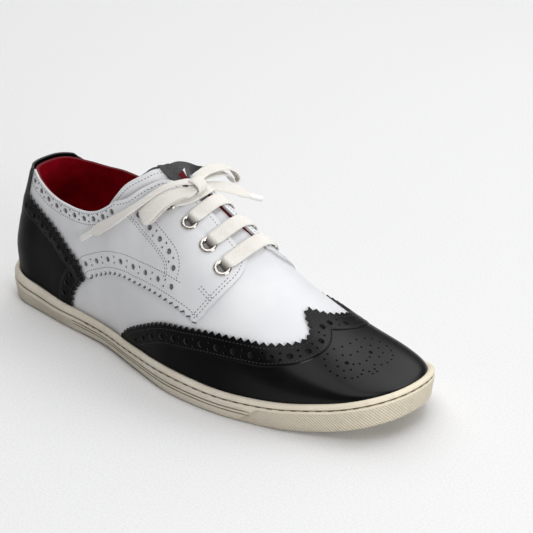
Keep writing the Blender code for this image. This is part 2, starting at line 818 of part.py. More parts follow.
def make_shoe():
    rubber = finish("cream_rubber", (0.72, 0.66, 0.53), 0.6)
    white = finish("white_leather", (0.80, 0.80, 0.82), 0.42)
    black = finish("black_leather", (0.016, 0.016, 0.018), 0.32)
    lining = finish("red_lining", (0.22, 0.006, 0.012), 0.85)
    nickel = finish("nickel", (0.62, 0.60, 0.56), 0.28, 1.0)
    cotton = finish("cotton_lace", (0.80, 0.76, 0.68), 0.9)
    make_sole(rubber)
    make_insole(lining)
    make_upper(white)
    make_wing_cap(black)
    make_heel_counter(black)
    make_quarter("quarter_lateral", LATERAL, white)
    make_quarter("quarter_medial", MEDIAL, white)
    make_tongue(white)
    make_eyelets(nickel)
    make_lace_bars(cotton)
    make_knot(cotton)
    make_lace_run("lace_end_lateral", NEAR_END, NEAR_END_FACES, LACE_THICK, cotton)
    make_lace_run("lace_loop_lateral", NEAR_LOOP, NEAR_LOOP_FACES, LOOP_THICK, cotton)
    make_lace_run("lace_loop_medial", FAR_LOOP, FAR_LOOP_FACES, LOOP_THICK, cotton)
    make_lace_run("lace_end_medial", FAR_END, FAR_END_FACES, LACE_THICK, cotton)


for leftover in list(bpy.data.objects):
    bpy.data.objects.remove(leftover)
parts = bpy.data.collections.new("wingtip_shoe")
cutters = bpy.data.collections.new("cutters")
for collection in (parts, cutters):
    bpy.context.scene.collection.children.link(collection)
make_shoe()
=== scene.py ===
"""The photo's wingtip shoe, dressed over its CAD frame.

Tables are in millimetres from the heel's back: x to the toe, y across, z up from the floor.
Pieces are made in the frame's metres, with the origin on the floor in the middle of the shoe.
"""

import math

import bmesh
import bpy
import numpy as np
from mathutils import Euler, Matrix, Vector
from mathutils.geometry import delaunay_2d_cdt

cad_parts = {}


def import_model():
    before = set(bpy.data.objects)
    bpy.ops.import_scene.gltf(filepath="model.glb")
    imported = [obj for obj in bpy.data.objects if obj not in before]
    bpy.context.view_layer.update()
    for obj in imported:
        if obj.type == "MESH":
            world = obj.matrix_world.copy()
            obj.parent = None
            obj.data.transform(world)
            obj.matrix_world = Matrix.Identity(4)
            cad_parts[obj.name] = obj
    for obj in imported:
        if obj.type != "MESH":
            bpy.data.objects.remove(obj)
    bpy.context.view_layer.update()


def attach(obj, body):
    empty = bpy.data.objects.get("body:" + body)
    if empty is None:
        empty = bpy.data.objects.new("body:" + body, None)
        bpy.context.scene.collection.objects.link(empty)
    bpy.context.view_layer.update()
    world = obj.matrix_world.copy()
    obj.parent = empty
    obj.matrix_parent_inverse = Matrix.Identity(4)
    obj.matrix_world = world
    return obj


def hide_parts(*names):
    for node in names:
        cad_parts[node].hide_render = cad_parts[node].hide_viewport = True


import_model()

MM = 0.001
LATERAL, MEDIAL = -1, 1
SIDE_NAME = {LATERAL: "lateral", MEDIAL: "medial"}
TINY = 1e-9
INSIDE_ONLY = 1

# Sizes of the last, the sole and the lace, and where the throat ends and the vamp is closed
LENGTH = 300.0
MIDDLE_Y = 0.4
HEEL_ROUND, HEEL_POWER = 34.0, 2.1
TOE_ROUND, TOE_POWER = 52.6, 2.14
TOE_CAP_POWER = 2.6
RIM_INNER = 4.4
UPPER_INSET = 4.8
UPPER_WALL = 1.8
INSOLE_INSET, INSOLE_RISE, INSOLE_THICK = 7.2, 0.3, 3.0
TREAD_STEP = 1.6
TONGUE_WALL = 2.0
TONGUE_SINK = UPPER_WALL + 0.85
LEAN_REACH, LEAN_POWER = 70.0, 1.5
LACE_WIDTH, LACE_THICK = 8.4, 1.1
UPPER_FOOT_RISE = 0.3
THROAT_X, VAMP_X = 196.0, 197.4
RIB_FROM, RIB_TO = 78.0, 229.0
WAIST_FROM, WAIST_TO = 76.0, 170.0
BLEND = 5.0
GIRTH_SCALE = 75.0
SCALE = np.array([LENGTH / math.pi, GIRTH_SCALE])

# Leather: its wall and how it lies on the upper, pinked edges, punched holes and raised bands
SKIN_CLEAR = 0.12
LEATHER = 1.25
OVER_TOP = SKIN_CLEAR + LEATHER
PINK_PITCH, QUARTER_PINK_PITCH, PINK_DEPTH = 4.2, 5.0, 2.0
BIG_HOLE, PIN_HOLE, HOLE_STRETCH = 1.65, 0.68, 1.22
BIG_HOLE_SIDES, PIN_HOLE_SIDES = 14, 8
PIN_APART = 1.75
BAND_STEP, BAND_SLOPE, BAND_LINE_PITCH = 0.4, 0.4, 1.5

# Quarters: the dark strip under the pinked edge, painted shadow below its teeth, the back that is tucked
# under the counter, and the collar, which stands over the upper's edge on the outer side and under it
# on the inner side
SHADOW_STRIP_INSET, SHADOW_STRIP_GROW, SHADOW_STRIP_LIFT, SHADOW_STRIP_WALL = 3.0, 1.0, 0.02, 0.08
TUCK, TUCK_FROM, TUCK_DROP, TUCK_BLEND = 6.0, 7.5, 0.03, 2.0
COLLAR_RISE, COLLAR_DROP = 0.007, 0.016
COLLAR_END, COLLAR_BLEND = 122.0, 8.0

# Feet of the black panels along the sole, and the end of the wing cap at the tip of the toe
PANEL_FOOT, PANEL_FOOT_STEP = 0.002, 2.0
WING_TIP_TURN, WING_TIP_STEP = math.pi - 0.008, 6.0

# Threads: pitch of the stitches, a stitch's length, width and rise, how deep it sits, and its form
# as places along it with the size there
STITCH_PITCH = 2.1
STITCH_SIZE = 1.2, 0.5, 0.16
THREAD_SINK = 0.05
THREAD_FORM = (-0.5, 0.3), (-0.36, 1.0), (0.36, 1.0), (0.5, 0.3)
THREAD_ARC = 5

# Fineness of the meshes: stations along the foot, rows of the upper, and points of the top edges
UPPER_STATIONS, UPPER_ROWS = 170, 46
SOLE_STATIONS, INSOLE_STATIONS, GROOVE_STATIONS = 170, 120, 600
COLLAR_POINTS, STRIP_POINTS = 200, 60

# A panel's points: their spacing, the height of a row, and what they leave clear of the edge, the
# holes and the lines, as shares of the spacing
PANEL_FINE, TONGUE_FINE = 1.6, 2.5
ROW_SHARE, EDGE_CLEAR, HOLE_CLEAR, LINE_CLEAR = 0.87, 0.45, 0.35, 0.5

# How far under an overlay the upper shows its painted hole shade, how close points are welded and runs
# meet, the step that tangents are read over, the rounds in which a step off a run finds its true length,
# and how much closer to its edge than its inset a run may come
COVER_CLEAR = 0.8
WELD, MEET = 0.01, 0.05
TANGENT_STEP, STEP_ROUNDS = 0.004, 3
FOLD_SLACK = 0.6

# Edges sharper than these angles, in degrees, stay sharp
SMOOTH_ANGLE, SOLE_SMOOTH_ANGLE = 50, 42
THREAD_SMOOTH_ANGLE, EYELET_SMOOTH_ANGLE, LACE_SMOOTH_ANGLE = 80, 60, 70

# Camera, fitted to the photo
CAMERA_PLACE = (0.6284, -0.5961, 0.43295)
CAMERA_TURN = (66.28, 0.0, 44.0)
CAMERA_LENS, CAMERA_SENSOR = 112.70, 36.0

# Studio, in metres: the floor, and each light's place, aim, size and watts
FLOOR_SIZE, SKY_STRENGTH = 12.0, 0.12
LIGHTS = (
    ("overhead", (0.30, -0.32, 1.30), (0.05, 0, 0.03), 0.95, 6.0),
    ("behind", (0.40, 0.85, 0.95), (0.10, 0, 0.03), 0.8, 4.1),
    ("backdrop", (-1.0, 1.0, 1.7), (-0.5, 0.5, 0), 2.6, 42),
    ("front", (1.25, -0.30, 0.40), (0.10, 0.0, 0.02), 0.5, 8.8),
    ("side", (-0.55, -1.15, 0.30), (-0.05, 0.0, 0.02), 0.6, 0.8),
)


def table(text):
    """Columns of a table written as text, by the names in its first line."""
    head, *rows = [line.split() for line in text.strip().splitlines()]
    return {name: np.array([float(row[i]) for row in rows]) for i, name in enumerate(head)}


# Plan of the sole's edge: half widths from the axis, before the ends are rounded
PLAN = table("""
x    lateral  medial  axis
0    34.3     34.0    0
30   32.2     34.5    0
65   34.9     33.0    0
105  36.9     31.0    0
140  44.4     33.0    0
175  51.0     40.0    0
210  50.3     46.0    0.8
240  46.1     46.5    4.2
270  44.0     42.5    12.0
300  43.4     48.0    10.5
""")

# Side of the sole: top of the rim, floor of the cup and tread
SIDE = table("""
x    rim    floor  tread
0    21.3   13.5   2.0
12   18.8   12.5   0.0
60   14.5   9.5    0.0
75   14.0   9.0    0.0
110  12.8   7.5    0.6
150  13.9   7.5    0.6
175  15.1   7.5    0.0
235  14.4   7.5    0.0
270  18.4   10.5   3.0
300  25.9   18.0   11.2
""")

# The last, a section a row: ridge, how high its walls stand, how they flare, and how full its
# crown is on the outer and on the inner side
LAST = table("""
x    ridge_z  ridge_y  wall  flare  crown  inner
0    120      0        0.30  1.0    0.92   0.92
30   128      0        0.32  1.5    0.92   0.92
60   134      0        0.34  1.5    0.92   0.92
90   136      0        0.36  1.5    0.88   0.88
110  130      0        0.40  1.5    0.78   0.78
120  121      0        0.42  1.5    0.68   0.70
130  110      0        0.44  1.5    0.61   0.66
137  103.5    0        0.45  1.5    0.59   0.67
159  92.5     0        0.48  1.5    0.58   0.66
176  84.5     0        0.50  1.5    0.58   0.60
189  77.5     0.5      0.52  2.0    0.58   0.56
200  71.0     1.0      0.54  2.0    0.60   0.53
215  61.5     2.0      0.56  2.0    0.62   0.51
230  52.5     4.0      0.58  2.0    0.64   0.52
250  41.0     7.0      0.60  1.6    0.66   0.60
265  34.5     9.0      0.62  1.2    0.68   0.68
280  30.5     10.0     0.64  0.8    0.70   0.70
300  28.0     10.0     0.66  0.5    0.72   0.72
""")

# Lean of the heel's back: how far forward it stands at each height over the rim
LEAN = table("""
x    forward
0    0
6    -0.8
16   -1.4
27   1.5
38   5.6
47   11.0
56   15.0
66   18.2
76   21.0
100  27.0
""")

# Top edge of the upper along the collar, the facings and the throat, as a share of the girth
TRIM = table("""
x    lateral  medial
4.8  0.528    0.528
15   0.524    0.482
22   0.510    0.463
28   0.493    0.452
36   0.465    0.446
46   0.438    0.444
58   0.418    0.442
70   0.407    0.436
80   0.402    0.430
90   0.408    0.430
100  0.434    0.448
110  0.490    0.500
120  0.575    0.580
128  0.720    0.722
134  0.862    0.866
139  0.920    0.932
150  0.934    0.960
168  0.936    0.970
181  0.912    0.962
196  0.892    0.940
""")

# Edges of the overlays: place along the foot and share of the girth. The wing cap's sides are alike,
# and between them its top runs from the outer side over the peak to the inner side
WING_SIDE = table("""
x      girth
124.6  0.006
128.8  0.038
134.5  0.071
148.8  0.135
165.7  0.207
187.0  0.278
206.1  0.361
222.3  0.448
231.9  0.513
""")
WING_TOP = table("""
x      girth
239.5  0.618
242.6  0.700
243.2  0.790
240.9  0.853
236.6  0.892
233.2  0.925
231.0  0.975
233.2  1.000
236.6  1.060
238.5  1.120
239.4  1.200
239.6  1.300
237.8  1.400
""")
WING_PEAK = 0.975
COUNTER_EDGE = table("""
x     girth
21.0  0.418
34.4  0.380
44.8  0.352
57.0  0.320
66.7  0.286
74.0  0.253
82.2  0.219
87.7  0.178
""")
STRIP_END = {LATERAL: 20.4, MEDIAL: 9.8}
STRIP_LIP = 0.010
COUNTER_FOOT = table("""
x     girth
88.8  0.160
82.7  0.128
77.5  0.086
74.5  0.034
74.6  0.008
""")
FACING_FRONT = table("""
x      girth
196.0  0.892
199.2  0.815
200.1  0.732
198.3  0.573
193.9  0.405
190.9  0.339
""")
QUARTER_FOOT = table("""
x      girth
190.9  0.339
181.2  0.348
160.1  0.336
136.5  0.300
118.5  0.253
100.3  0.202
92.5   0.179
90.2   0.165
""")
EYESTAY = table("""
x      girth
124.0  0.560
132.0  0.575
140.3  0.579
150.3  0.571
159.7  0.553
164.6  0.510
165.9  0.450
""")

# Bands along the overlays' edges: width, the row of holes and the seams in from the edge, and the
# pitch and end margin of the holes
WING_BAND, WING_HOLES, WING_SEAMS = 11.6, 6.9, (2.5, 10.2)
WING_HOLE_PITCH, WING_HOLE_MARGIN = 10.0, 4.0
WING_CLEAR = 0.02
COUNTER_BAND, COUNTER_HOLES, COUNTER_SEAMS = 12.2, 7.7, (2.3, 11.0)
COUNTER_FOOT_PITCH, COUNTER_EDGE_PITCH, COUNTER_HOLE_MARGIN = 9.0, 10.0, 4.5
COUNTER_LAP, COUNTER_LAP_BLEND = 11.0, 5.0
STRIP_FROM, STRIP_BLEND = 0.30, 0.06
COUNTER_CLEAR, STRIP_CLEAR = 0.012, 0.02

# Medallion on the toe: its place and turn, an open ring of pins round each lobe, and the holes and
# other pins of one side, by how far they are ahead of the place and beside it
MEDALLION_X, MEDALLION_GIRTH, MEDALLION_TURN = 265.9, 0.925, -12.0
MEDALLION_HOLE, MEDALLION_HOLE_SIDES, MEDALLION_PIN = 1.35, 12, 0.75
LOBE_AHEAD, LOBE_BESIDE, LOBE_LONG, LOBE_WIDE = 1.2, 11.8, 10.7, 10.6
LOBE_FROM, LOBE_TO, LOBE_PINS = 0.1, 3.86, 10
MEDALLION_HOLES = [(0.0, 8.8)]
MEDALLION_PINS = [
    (-4.1, 12.1), (-0.9, 15.3), (3.2, 15.4), (5.0, 11.1), (2.7, 6.2), (-5.0, 6.5),
    (-10.0, 7.5), (-9.2, 2.6), (-3.2, 2.5), (4.2, 2.7), (12.4, 2.4), (15.2, 2.0),
]

# Quarters: where the collar's band and the low row start and end, each row of holes by its inset,
# pitch and end margin, and each run's rows of stitches by their insets
BAND_START, BAND_TO, LOW_TO = 0.6, 112.0, 172.0
QUARTER_HOLES = {"band": (4.3, 8.8, 4.5), "eyestay": (0.0, 10.2, 6.0), "low": (7.4, 11.2, 5.0)}
QUARTER_SEAMS = {
    "band": (1.5, 7.6),
    "facing": (2.3,),
    "front": (2.4,),
    "front_foot": (4.4,),
    "foot": (2.8,),
    "low": (12.0,),
    "eyestay": (5.6, 4.2, -4.2),
    "tack": (0.0, -1.8),
}
FRONT_FOOT_POINTS = 30
TACK = table("""
x      girth
184.5  0.515
194.6  0.500
""")

# Tongue: its top, side and the notch in its leather's top, as on the outer side
TONGUE_TOP = table("""
x      girth
100.5  0.400
103.0  0.455
111.9  0.560
122.3  0.715
126.8  0.830
129.2  0.905
130.2  1.000
""")
TONGUE_SIDE = table("""
x      girth
100.5  0.400
120.0  0.490
140.0  0.570
160.0  0.640
185.0  0.710
206.0  0.800
""")
TONGUE_NOTCH = table("""
x      girth
130.4  0.934
131.4  0.948
132.6  0.955
134.5  0.958
136.5  0.953
146.0  0.945
""")
TONGUE_INNER_SHIFT = 2.5
TONGUE_RISE, TONGUE_RISE_FROM, TONGUE_RISE_OVER = 1.5, 172.0, 24.0
COVER_GAP, COVER_WALL, COVER_END_X = 0.03, 0.8, 148.0
TOP_SEAM_INSET, TOP_SEAM_SKIP = 2.6, 8
NOTCH_GAP = 0.008

# The felt's top edge ends a little below the leather's at the sides and stands past it by the ridge
FELT_PROUD, FELT_BEHIND = 1.5, 0.4
FELT_PROUD_FROM, FELT_PROUD_OVER = 0.60, 0.25

# Top of the felt that shows past the tongue's leather: its upper edge, and where it starts below
FELT_CAP = table("""
x      girth  height  low_x  low_girth  bulge
127.2  0.870  -2.7    146.0  0.930      0.0
128.9  0.925  -2.5    148.5  0.960      0.0
130.0  0.975  -1.3    148.0  1.000      0.5
130.4  1.050  0.7     144.0  1.045      1.1
131.2  1.115  3.2     139.0  1.085      1.1
132.3  1.170  5.9     136.0  1.125      1.1
133.0  1.208  9.0     134.5  1.150      1.1
""")
FELT_LOW, FELT_WALL = -2.1, 1.6
FELT_COLUMNS, FELT_ROWS = np.linspace(0, 1, 48), np.linspace(0, 1, 24)

# Label on the felt: its shares across and down it, lift and wall, and the share across that is red
LABEL_COLUMNS, LABEL_ROWS = np.linspace(0.27, 0.58, 16), np.linspace(0.42, 0.82, 20)
LABEL_LIFT, LABEL_WALL, LABEL_RED = 1.7, 0.4, 0.55

# Eyelets, from the top, and how far the bar of lace between them bows to the toe
EYELETS = table("""
x      lateral  medial  bow
143.0  0.765    0.800   9.5
160.3  0.785    0.820   1.5
176.8  0.763    0.800   1.5
190.5  0.719    0.760   1.5
""")
EYELET_RADIUS, EYELET_BEAD, EYELET_FLAT, EYELET_LIFT = 3.95, 1.1, 0.7, 0.25
EYELET_SEGMENTS, BEAD_SEGMENTS = 48, 16
BARREL_RADIUS, BARREL_LENGTH, BARREL_DROP = 2.9, 1.9, 0.85
EYELET_HOLE, EYELET_HOLE_SIDES = 3.0, 20

# A bar of lace from its eyelet to its middle: share of its girth, lift over the last and width
LACE_BAR = table("""
share  lift   width
0.0    -1.6   3.6
0.012  0.6    4.2
0.035  2.1    5.6
0.075  3.0    7.4
0.14   2.75   8.5
0.24   2.35   8.8
0.36   2.25   8.8
0.5    2.25   8.8
""")

# The lace's section, the steps of its rows, and a run past the darkening near the eyelets
LACE_SIDES, LACE_WIDE_POWER, LACE_HIGH_POWER = 14, 0.75, 0.45
BAR_STEP, ROUTE_STEP, STRAND_STEP = 1.2, 1.5, 1.1
PAST_EYELET_DARKENING = 100.0

# Strands under the bars: shift to the toe, start and reach round the girth, height and width
UNDER_SHIFT, UNDER_GIRTH, UNDER_REACH = 5.0, 0.915, 0.135
UNDER_HEIGHT, UNDER_WIDTH, UNDER_POINTS = -1.15, 6.4, 12

# Lace routes from the knot, and the ways that a band faces at the knot and at its end
NEAR_END = table("""
x      y      z
149.2  -8.2   106.2
143.4  -14.2  104.5
138.3  -20.2  100.5
132.9  -25.7  94.9
126.2  -30.0  88.8
118.0  -32.2  82.4
109.0  -32.8  76.2
98.0   -33.2  69.0
88.0   -33.4  62.2
""")
NEAR_LOOP = table("""
x      y      z
153.4  -9.7   101.6
150.1  -13.2  100.9
146.4  -17.8  98.8
142.6  -22.4  95.0
138.8  -25.9  90.2
135.4  -27.8  86.4
""")
FAR_LOOP = table("""
x      y     z
150.1  0.1   105.0
148.5  6.4   106.4
148.2  13.8  106.6
148.2  21.3  105.4
149.0  26.5  102.2
150.2  28.8  98.4
""")
FAR_END = table("""
x      y     z
152.6  1.0   101.8
153.5  9.3   99.9
156.0  14.8  98.5
159.0  19.9  96.4
162.0  24.9  93.5
165.0  30.1  90.7
166.9  33.8  89.1
""")
NEAR_END_FACES = (-0.10, -0.40, 0.91), (0.0, -0.97, 0.25)
NEAR_LOOP_FACES = (0.25, -0.55, 0.80), (0.10, -0.80, 0.60)
FAR_LOOP_FACES = (0.10, -0.20, 0.97), (0.20, 0.90, 0.40)
FAR_END_FACES = (0.38, -0.30, 0.88), (0.45, -0.15, 0.88)
# Widths of the lace's ends by the distance from the tip; the first stretch is the clear sleeve
NEAR_WIDTHS = (0, 10.5, 16, 28, 52), (3.0, 3.4, 7.0, 7.0, 4.6)
FAR_WIDTHS = (0, 8.5, 13, 24, 40), (3.0, 3.8, 7.6, 7.8, 6.6)
TIP_CLEAR = 0.3

# Loops: how far each opens and flares, its neck, how it swells along its length, and its fold
NEAR_OPENING, NEAR_FLARE = 1.2, 0.60
FAR_OPENING, FAR_FLARE = 1.9, 0.1
LOOP_NECK, LOOP_SWELL, LOOP_START = 0.40, 0.62, 0.05
FOLD_POINTS, FOLD_REACH = 13, 1.2
FOLD_NARROW, FOLD_NARROW_REACH = 0.45, 3.4

# A strand where the knot squeezes it, where it goes over into its end, and where the end thickens
SQUEEZED, SQUEEZE_REACH = 0.62, 16.0
END_LEAD, END_BLEND = 4.0, 8.0
END_THICK, END_THICK_REACH, END_LEAST, END_MOST = 2.1, 14.0, 1.05, 1.9

# Knot: its place, the way of its strand, and the wrap round it
KNOT_X, KNOT_GIRTH, KNOT_LIFT = 150.5, 0.961, 6.6
KNOT_WAY, KNOT_TURN_BACK = (-0.12, 0.95, 0.22), 0.25
WRAP_FROM, WRAP_TO, WRAP_POINTS = -0.15 * math.pi, 1.95 * math.pi, 44
WRAP_ACROSS, WRAP_UP, WRAP_LEAN = 4.2, 3.1, 0.9
WRAP_WIDTH, WRAP_THICK = 7.4, 1.5

# Side of the sole from tread to cup: inset, share of the height from tread to rim, added height,
# how much deeper the row is in the ribbed waist, and the painted shade on the faces above it: 1 all
# round (the stitch groove, and the rim's inside where the upper meets it), 2 in a rib
SOLE_WALL = table("""
inset  share  add    rib  shade
6.4    0.00   0.0    0.0  0
6.0    0.00   0.0    0.0  0
5.7    0.00   0.3    0.0  0
5.3    0.00   0.4    0.0  0
3.0    0.00   0.4    0.0  0
1.9    0.00   0.5    0.0  0
1.3    0.00   1.1    0.0  0
1.1    0.16   0.2    0.0  0
0.9    0.29   0.0    0.0  0
0.85   0.325  0.0    0.1  2
0.8    0.350  0.0    1.2  2
0.6    0.385  0.0    0.1  0
0.5    0.42   0.0    0.0  0
0.45   0.465  0.0    0.1  2
0.4    0.490  0.0    1.2  2
0.3    0.525  0.0    0.1  0
0.2    0.56   0.0    0.0  0
0.0    1.00   -4.4   0.0  0
0.05   1.00   -4.0   0.0  0
0.3    1.00   -3.75  0.0  0
1.1    1.00   -3.55  0.0  1
1.2    1.00   -3.2   0.0  1
0.7    1.00   -2.95  0.0  0
0.25   1.00   -2.6   0.0  0
0.1    1.00   -2.1   0.0  0
0.2    1.00   -1.5   0.0  0
0.6    1.00   -1.0   0.0  0
1.2    1.00   -0.5   0.0  0
2.0    1.00   -0.2   0.0  0
2.8    1.00   -0.05  0.0  0
3.5    1.00   -0.35  0.0  0
4.4    1.00   -1.4   0.0  1
""")
STITCH_GROOVE_INSET, STITCH_GROOVE_DROP = 0.75, 3.35
SOLE_STITCH_PITCH, SOLE_STITCH_FROM = 6.8, 88.0
SOLE_STITCH_SIZE = 3.4, 1.0, 0.35

# How much taller the bead over the groove is at the heel
BEAD = table("""
x    scale
0    1.75
40   1.70
75   1.35
110  1.05
140  1.00
""")

# How far the rubber's rim stands up over the toe of the upper
RIM_LIFT = table("""
x    lift
205  0.0
245  1.0
275  1.3
300  2.2
""")

# Creases and dents of the leather: their two ends, half width and depth
CREASES = table("""
x    girth  to_x  to_girth  width  depth
205  0.60   211   0.99      2.6    0.30
212  0.56   217   0.97      2.4    0.26
219  0.62   224   0.94      2.2    0.18
112  0.34   140   0.46      7.0    0.45
96   0.28   120   0.36      8.0    -0.40
48   0.30   78    0.33      9.0    0.40
172  0.44   188   0.52      6.0    0.30
150  0.20   176   0.27      7.0    0.35
""")
CREASE_RIDGE, CREASE_RIDGE_AWAY, CREASE_TAPER = 0.35, 1.8, 0.5

# The inner facing's edge stands up: how much, how far round, and where that starts and ends
FACING_LIFT, FACING_LIFT_REACH, FACING_LIFT_GIRTH = 4.4, 10.5, 0.8
FACING_LIFT_FROM, FACING_LIFT_IN = 138.0, 14.0
FACING_LIFT_TO, FACING_LIFT_OUT = 204.0, 10.0


# The last


def smooth(rows, column, x):
    """A column at x, on a smooth curve through the table's rows."""
    xs, ys = rows["x"], rows[column]
    slope = np.empty_like(ys)
    slope[1:-1] = (ys[2:] - ys[:-2]) / (xs[2:] - xs[:-2])
    slope[0] = (ys[1] - ys[0]) / (xs[1] - xs[0])
    slope[-1] = (ys[-1] - ys[-2]) / (xs[-1] - xs[-2])
    x = np.clip(np.asarray(x, float), xs[0], xs[-1])
    i = np.clip(np.searchsorted(xs, x, side="right") - 1, 0, len(xs) - 2)
    step = xs[i + 1] - xs[i]
    t = (x - xs[i]) / step
    start = (1 + 2 * t) * (1 - t) ** 2 * ys[i] + t * (1 - t) ** 2 * step * slope[i]
    end = t * t * (3 - 2 * t) * ys[i + 1] + t * t * (t - 1) * step * slope[i + 1]
    return start + end


def between(x, low, high):
    """1 from low to high and 0 outside, with soft ends."""
    rise = np.clip((x - low) / BLEND + 0.5, 0, 1)
    fall = np.clip((high - x) / BLEND + 0.5, 0, 1)
    return rise * fall


def round_ends(x, inset):
    """Share of the half width that the round heel and toe leave, on an outline moved in by inset."""
    heel = np.clip((HEEL_ROUND - x) / (HEEL_ROUND - inset), 0, 1)
    toe_from = LENGTH - TOE_ROUND
    toe = np.clip((x - toe_from) / (TOE_ROUND - inset), 0, 1)
    return (1 - heel**HEEL_POWER) ** (1 / HEEL_POWER) * (1 - toe**TOE_POWER) ** (1 / TOE_POWER)


def edge_y(x, side, inset):
    """The plan's edge on one side of the foot, moved in by inset."""
    half = smooth(PLAN, SIDE_NAME[side], x) - inset
    return smooth(PLAN, "axis", x) + side * half * round_ends(x, inset)


def station_x(turn, inset):
    """Place along the foot for a turn from 0 at the heel to pi at the toe, closer rows at both ends."""
    return inset + (LENGTH - 2 * inset) * (1 - np.cos(turn)) / 2


def turn_of(x):
    """The turn of a place along the upper."""
    return np.arccos(np.clip(1 - 2 * (x - UPPER_INSET) / (LENGTH - 2 * UPPER_INSET), -1, 1))


def last_half(x, side, v):
    """Points of the last on one side, v being the share of the girth from the rim to the ridge."""
    y0 = edge_y(x, side, UPPER_INSET)
    z0 = smooth(SIDE, "rim", x)
    axis = smooth(PLAN, "axis", x)
    toe_from = LENGTH - TOE_ROUND
    toe = np.clip((x - toe_from) / (TOE_ROUND - UPPER_INSET), 0, 1)
    close = (1 - toe**TOE_CAP_POWER) ** (1 / TOE_CAP_POWER)
    rise = (smooth(LAST, "ridge_z", x) - z0) * close
    y3 = axis + (smooth(LAST, "ridge_y", x) - axis) * close
    y1 = y0 + side * smooth(LAST, "flare", x) * round_ends(x, UPPER_INSET)
    y2 = y3 + smooth(LAST, "crown" if side == LATERAL else "inner", x) * (y0 - y3)
    b0, b1, b2, b3 = (1 - v) ** 3, 3 * v * (1 - v) ** 2, 3 * v * v * (1 - v), v**3
    y = b0 * y0 + b1 * y1 + b2 * y2 + b3 * y3
    over_rim = rise * (b1 * smooth(LAST, "wall", x) + b2 + b3)
    fade = np.clip(1 - (x - UPPER_INSET) / LEAN_REACH, 0, 1) ** LEAN_POWER
    return np.stack([x + smooth(LEAN, "forward", over_rim) * fade, y, z0 + over_rim], -1)


def skin(p, q):
    """The last by p, the turn along the foot (under 0 is the medial side of the heel), and
    q, the girth (over 1 is the medial side beyond the ridge)."""
    p, q = np.broadcast_arrays(np.asarray(p, float), np.asarray(q, float))
    x = station_x(np.abs(p), UPPER_INSET)
    v = np.where(q > 1, 2 - q, q)
    medial = (p < 0) ^ (q > 1)
    return np.where(medial[..., None], last_half(x, MEDIAL, v), last_half(x, LATERAL, v))


def tangents(p, q):
    """How the last runs per unit of p and of q."""
    ahead, behind = np.minimum(p + TANGENT_STEP, math.pi), p - TANGENT_STEP
    above, below = np.minimum(q + TANGENT_STEP, 2), np.maximum(q - TANGENT_STEP, 0)
    along = (skin(ahead, q) - skin(behind, q)) / (ahead - behind)[..., None]
    up = (skin(p, above) - skin(p, below)) / (above - below)[..., None]
    return along, up


def unit(vectors):
    """Vectors at a length of 1."""
    return vectors / np.maximum(np.linalg.norm(vectors, axis=-1, keepdims=True), TINY)


def running_length(points):
    """The length of a path up to each of its points."""
    return np.r_[0, np.cumsum(np.linalg.norm(np.diff(points, axis=0), axis=1))]


def trim(x, side):
    """The girth at which the upper ends: its collar and facings, or the ridge where it is closed."""
    edge = smooth(TRIM, SIDE_NAME[side], x)
    return np.where(np.asarray(x) > THROAT_X + 1, 1.0, edge)


def crease_height(p, q):
    """Soft troughs with a low ridge beside them, from the table of creases, alike on both sides."""
    x = station_x(np.abs(p), UPPER_INSET)
    place = np.stack([x, np.where(q > 1, 2 - q, q) * GIRTH_SCALE], -1)
    height = np.zeros(x.shape)
    for x0, g0, x1, g1, width, depth in zip(*CREASES.values()):
        start, run = np.array([x0, g0 * GIRTH_SCALE]), np.array([x1 - x0, (g1 - g0) * GIRTH_SCALE])
        t = np.clip((place - start) @ run / (run @ run), 0, 1)
        away = np.linalg.norm(place - start - t[..., None] * run, axis=-1) / width
        taper = np.sin(math.pi * t) ** CREASE_TAPER
        ridge = CREASE_RIDGE * np.exp(-((away - CREASE_RIDGE_AWAY) ** 2))
        height += depth * taper * (ridge - np.exp(-(away**2)))
    return height


def facing_lift(p, q):
    """The inner facing's edge stands up a little from the tongue."""
    x = station_x(np.abs(p), UPPER_INSET)
    edge = 2 - trim(np.minimum(x, THROAT_X), MEDIAL)
    away = (q - edge) * GIRTH_SCALE / FACING_LIFT_REACH
    starts = np.clip((x - FACING_LIFT_FROM) / FACING_LIFT_IN, 0, 1)
    ends = np.clip((FACING_LIFT_TO - x) / FACING_LIFT_OUT, 0, 1)
    return FACING_LIFT * np.exp(-(away**2)) * (starts * ends) * (q > FACING_LIFT_GIRTH)


def surface(p, q, height, relief=True):
    """Points at a height over the last, with the leather's creases."""
    p, q = np.broadcast_arrays(np.asarray(p, float), np.asarray(q, float))
    along, up = tangents(p, q)
    if relief:
        height = height + crease_height(p, q) + facing_lift(p, q)
    return skin(p, q) + unit(np.cross(along, up)) * np.asarray(height, float)[..., None]


# Runs of (p, q) on the last


def spread(points, step=1.0):
    """A smooth curve through rows of (p, q), read at even steps of about the given length."""
    scaled = np.asarray(points) * SCALE
    at = running_length(scaled)
    read = np.linspace(0, at[-1], max(2, round(at[-1] / step) + 1))
    columns = {"x": at, "p": scaled[:, 0], "q": scaled[:, 1]}
    return np.stack([smooth(columns, "p", read), smooth(columns, "q", read)], -1) / SCALE


def edge_run(rows, x_shift=0.0):
    """An edge from its table, as rows of (p, q)."""
    return np.stack([turn_of(rows["x"] + x_shift), rows["girth"]], -1)


def moved(points, vectors):
    """Points of (p, q) moved over the last by vectors in millimetres."""
    along, up = tangents(points[:, 0], points[:, 1])
    aa, au, uu = (along * along).sum(-1), (along * up).sum(-1), (up * up).sum(-1)
    va, vu = (vectors * along).sum(-1), (vectors * up).sum(-1)
    det = np.maximum(aa * uu - au * au, TINY)
    return points + np.stack([(va * uu - vu * au) / det, (vu * aa - va * au) / det], -1)


def beside(run):
    """Unit vectors to the left of a run, in the surface."""
    along, up = tangents(run[:, 0], run[:, 1])
    forward = unit(np.gradient(skin(run[:, 0], run[:, 1]), axis=0))
    return unit(np.cross(np.cross(along, up), forward))


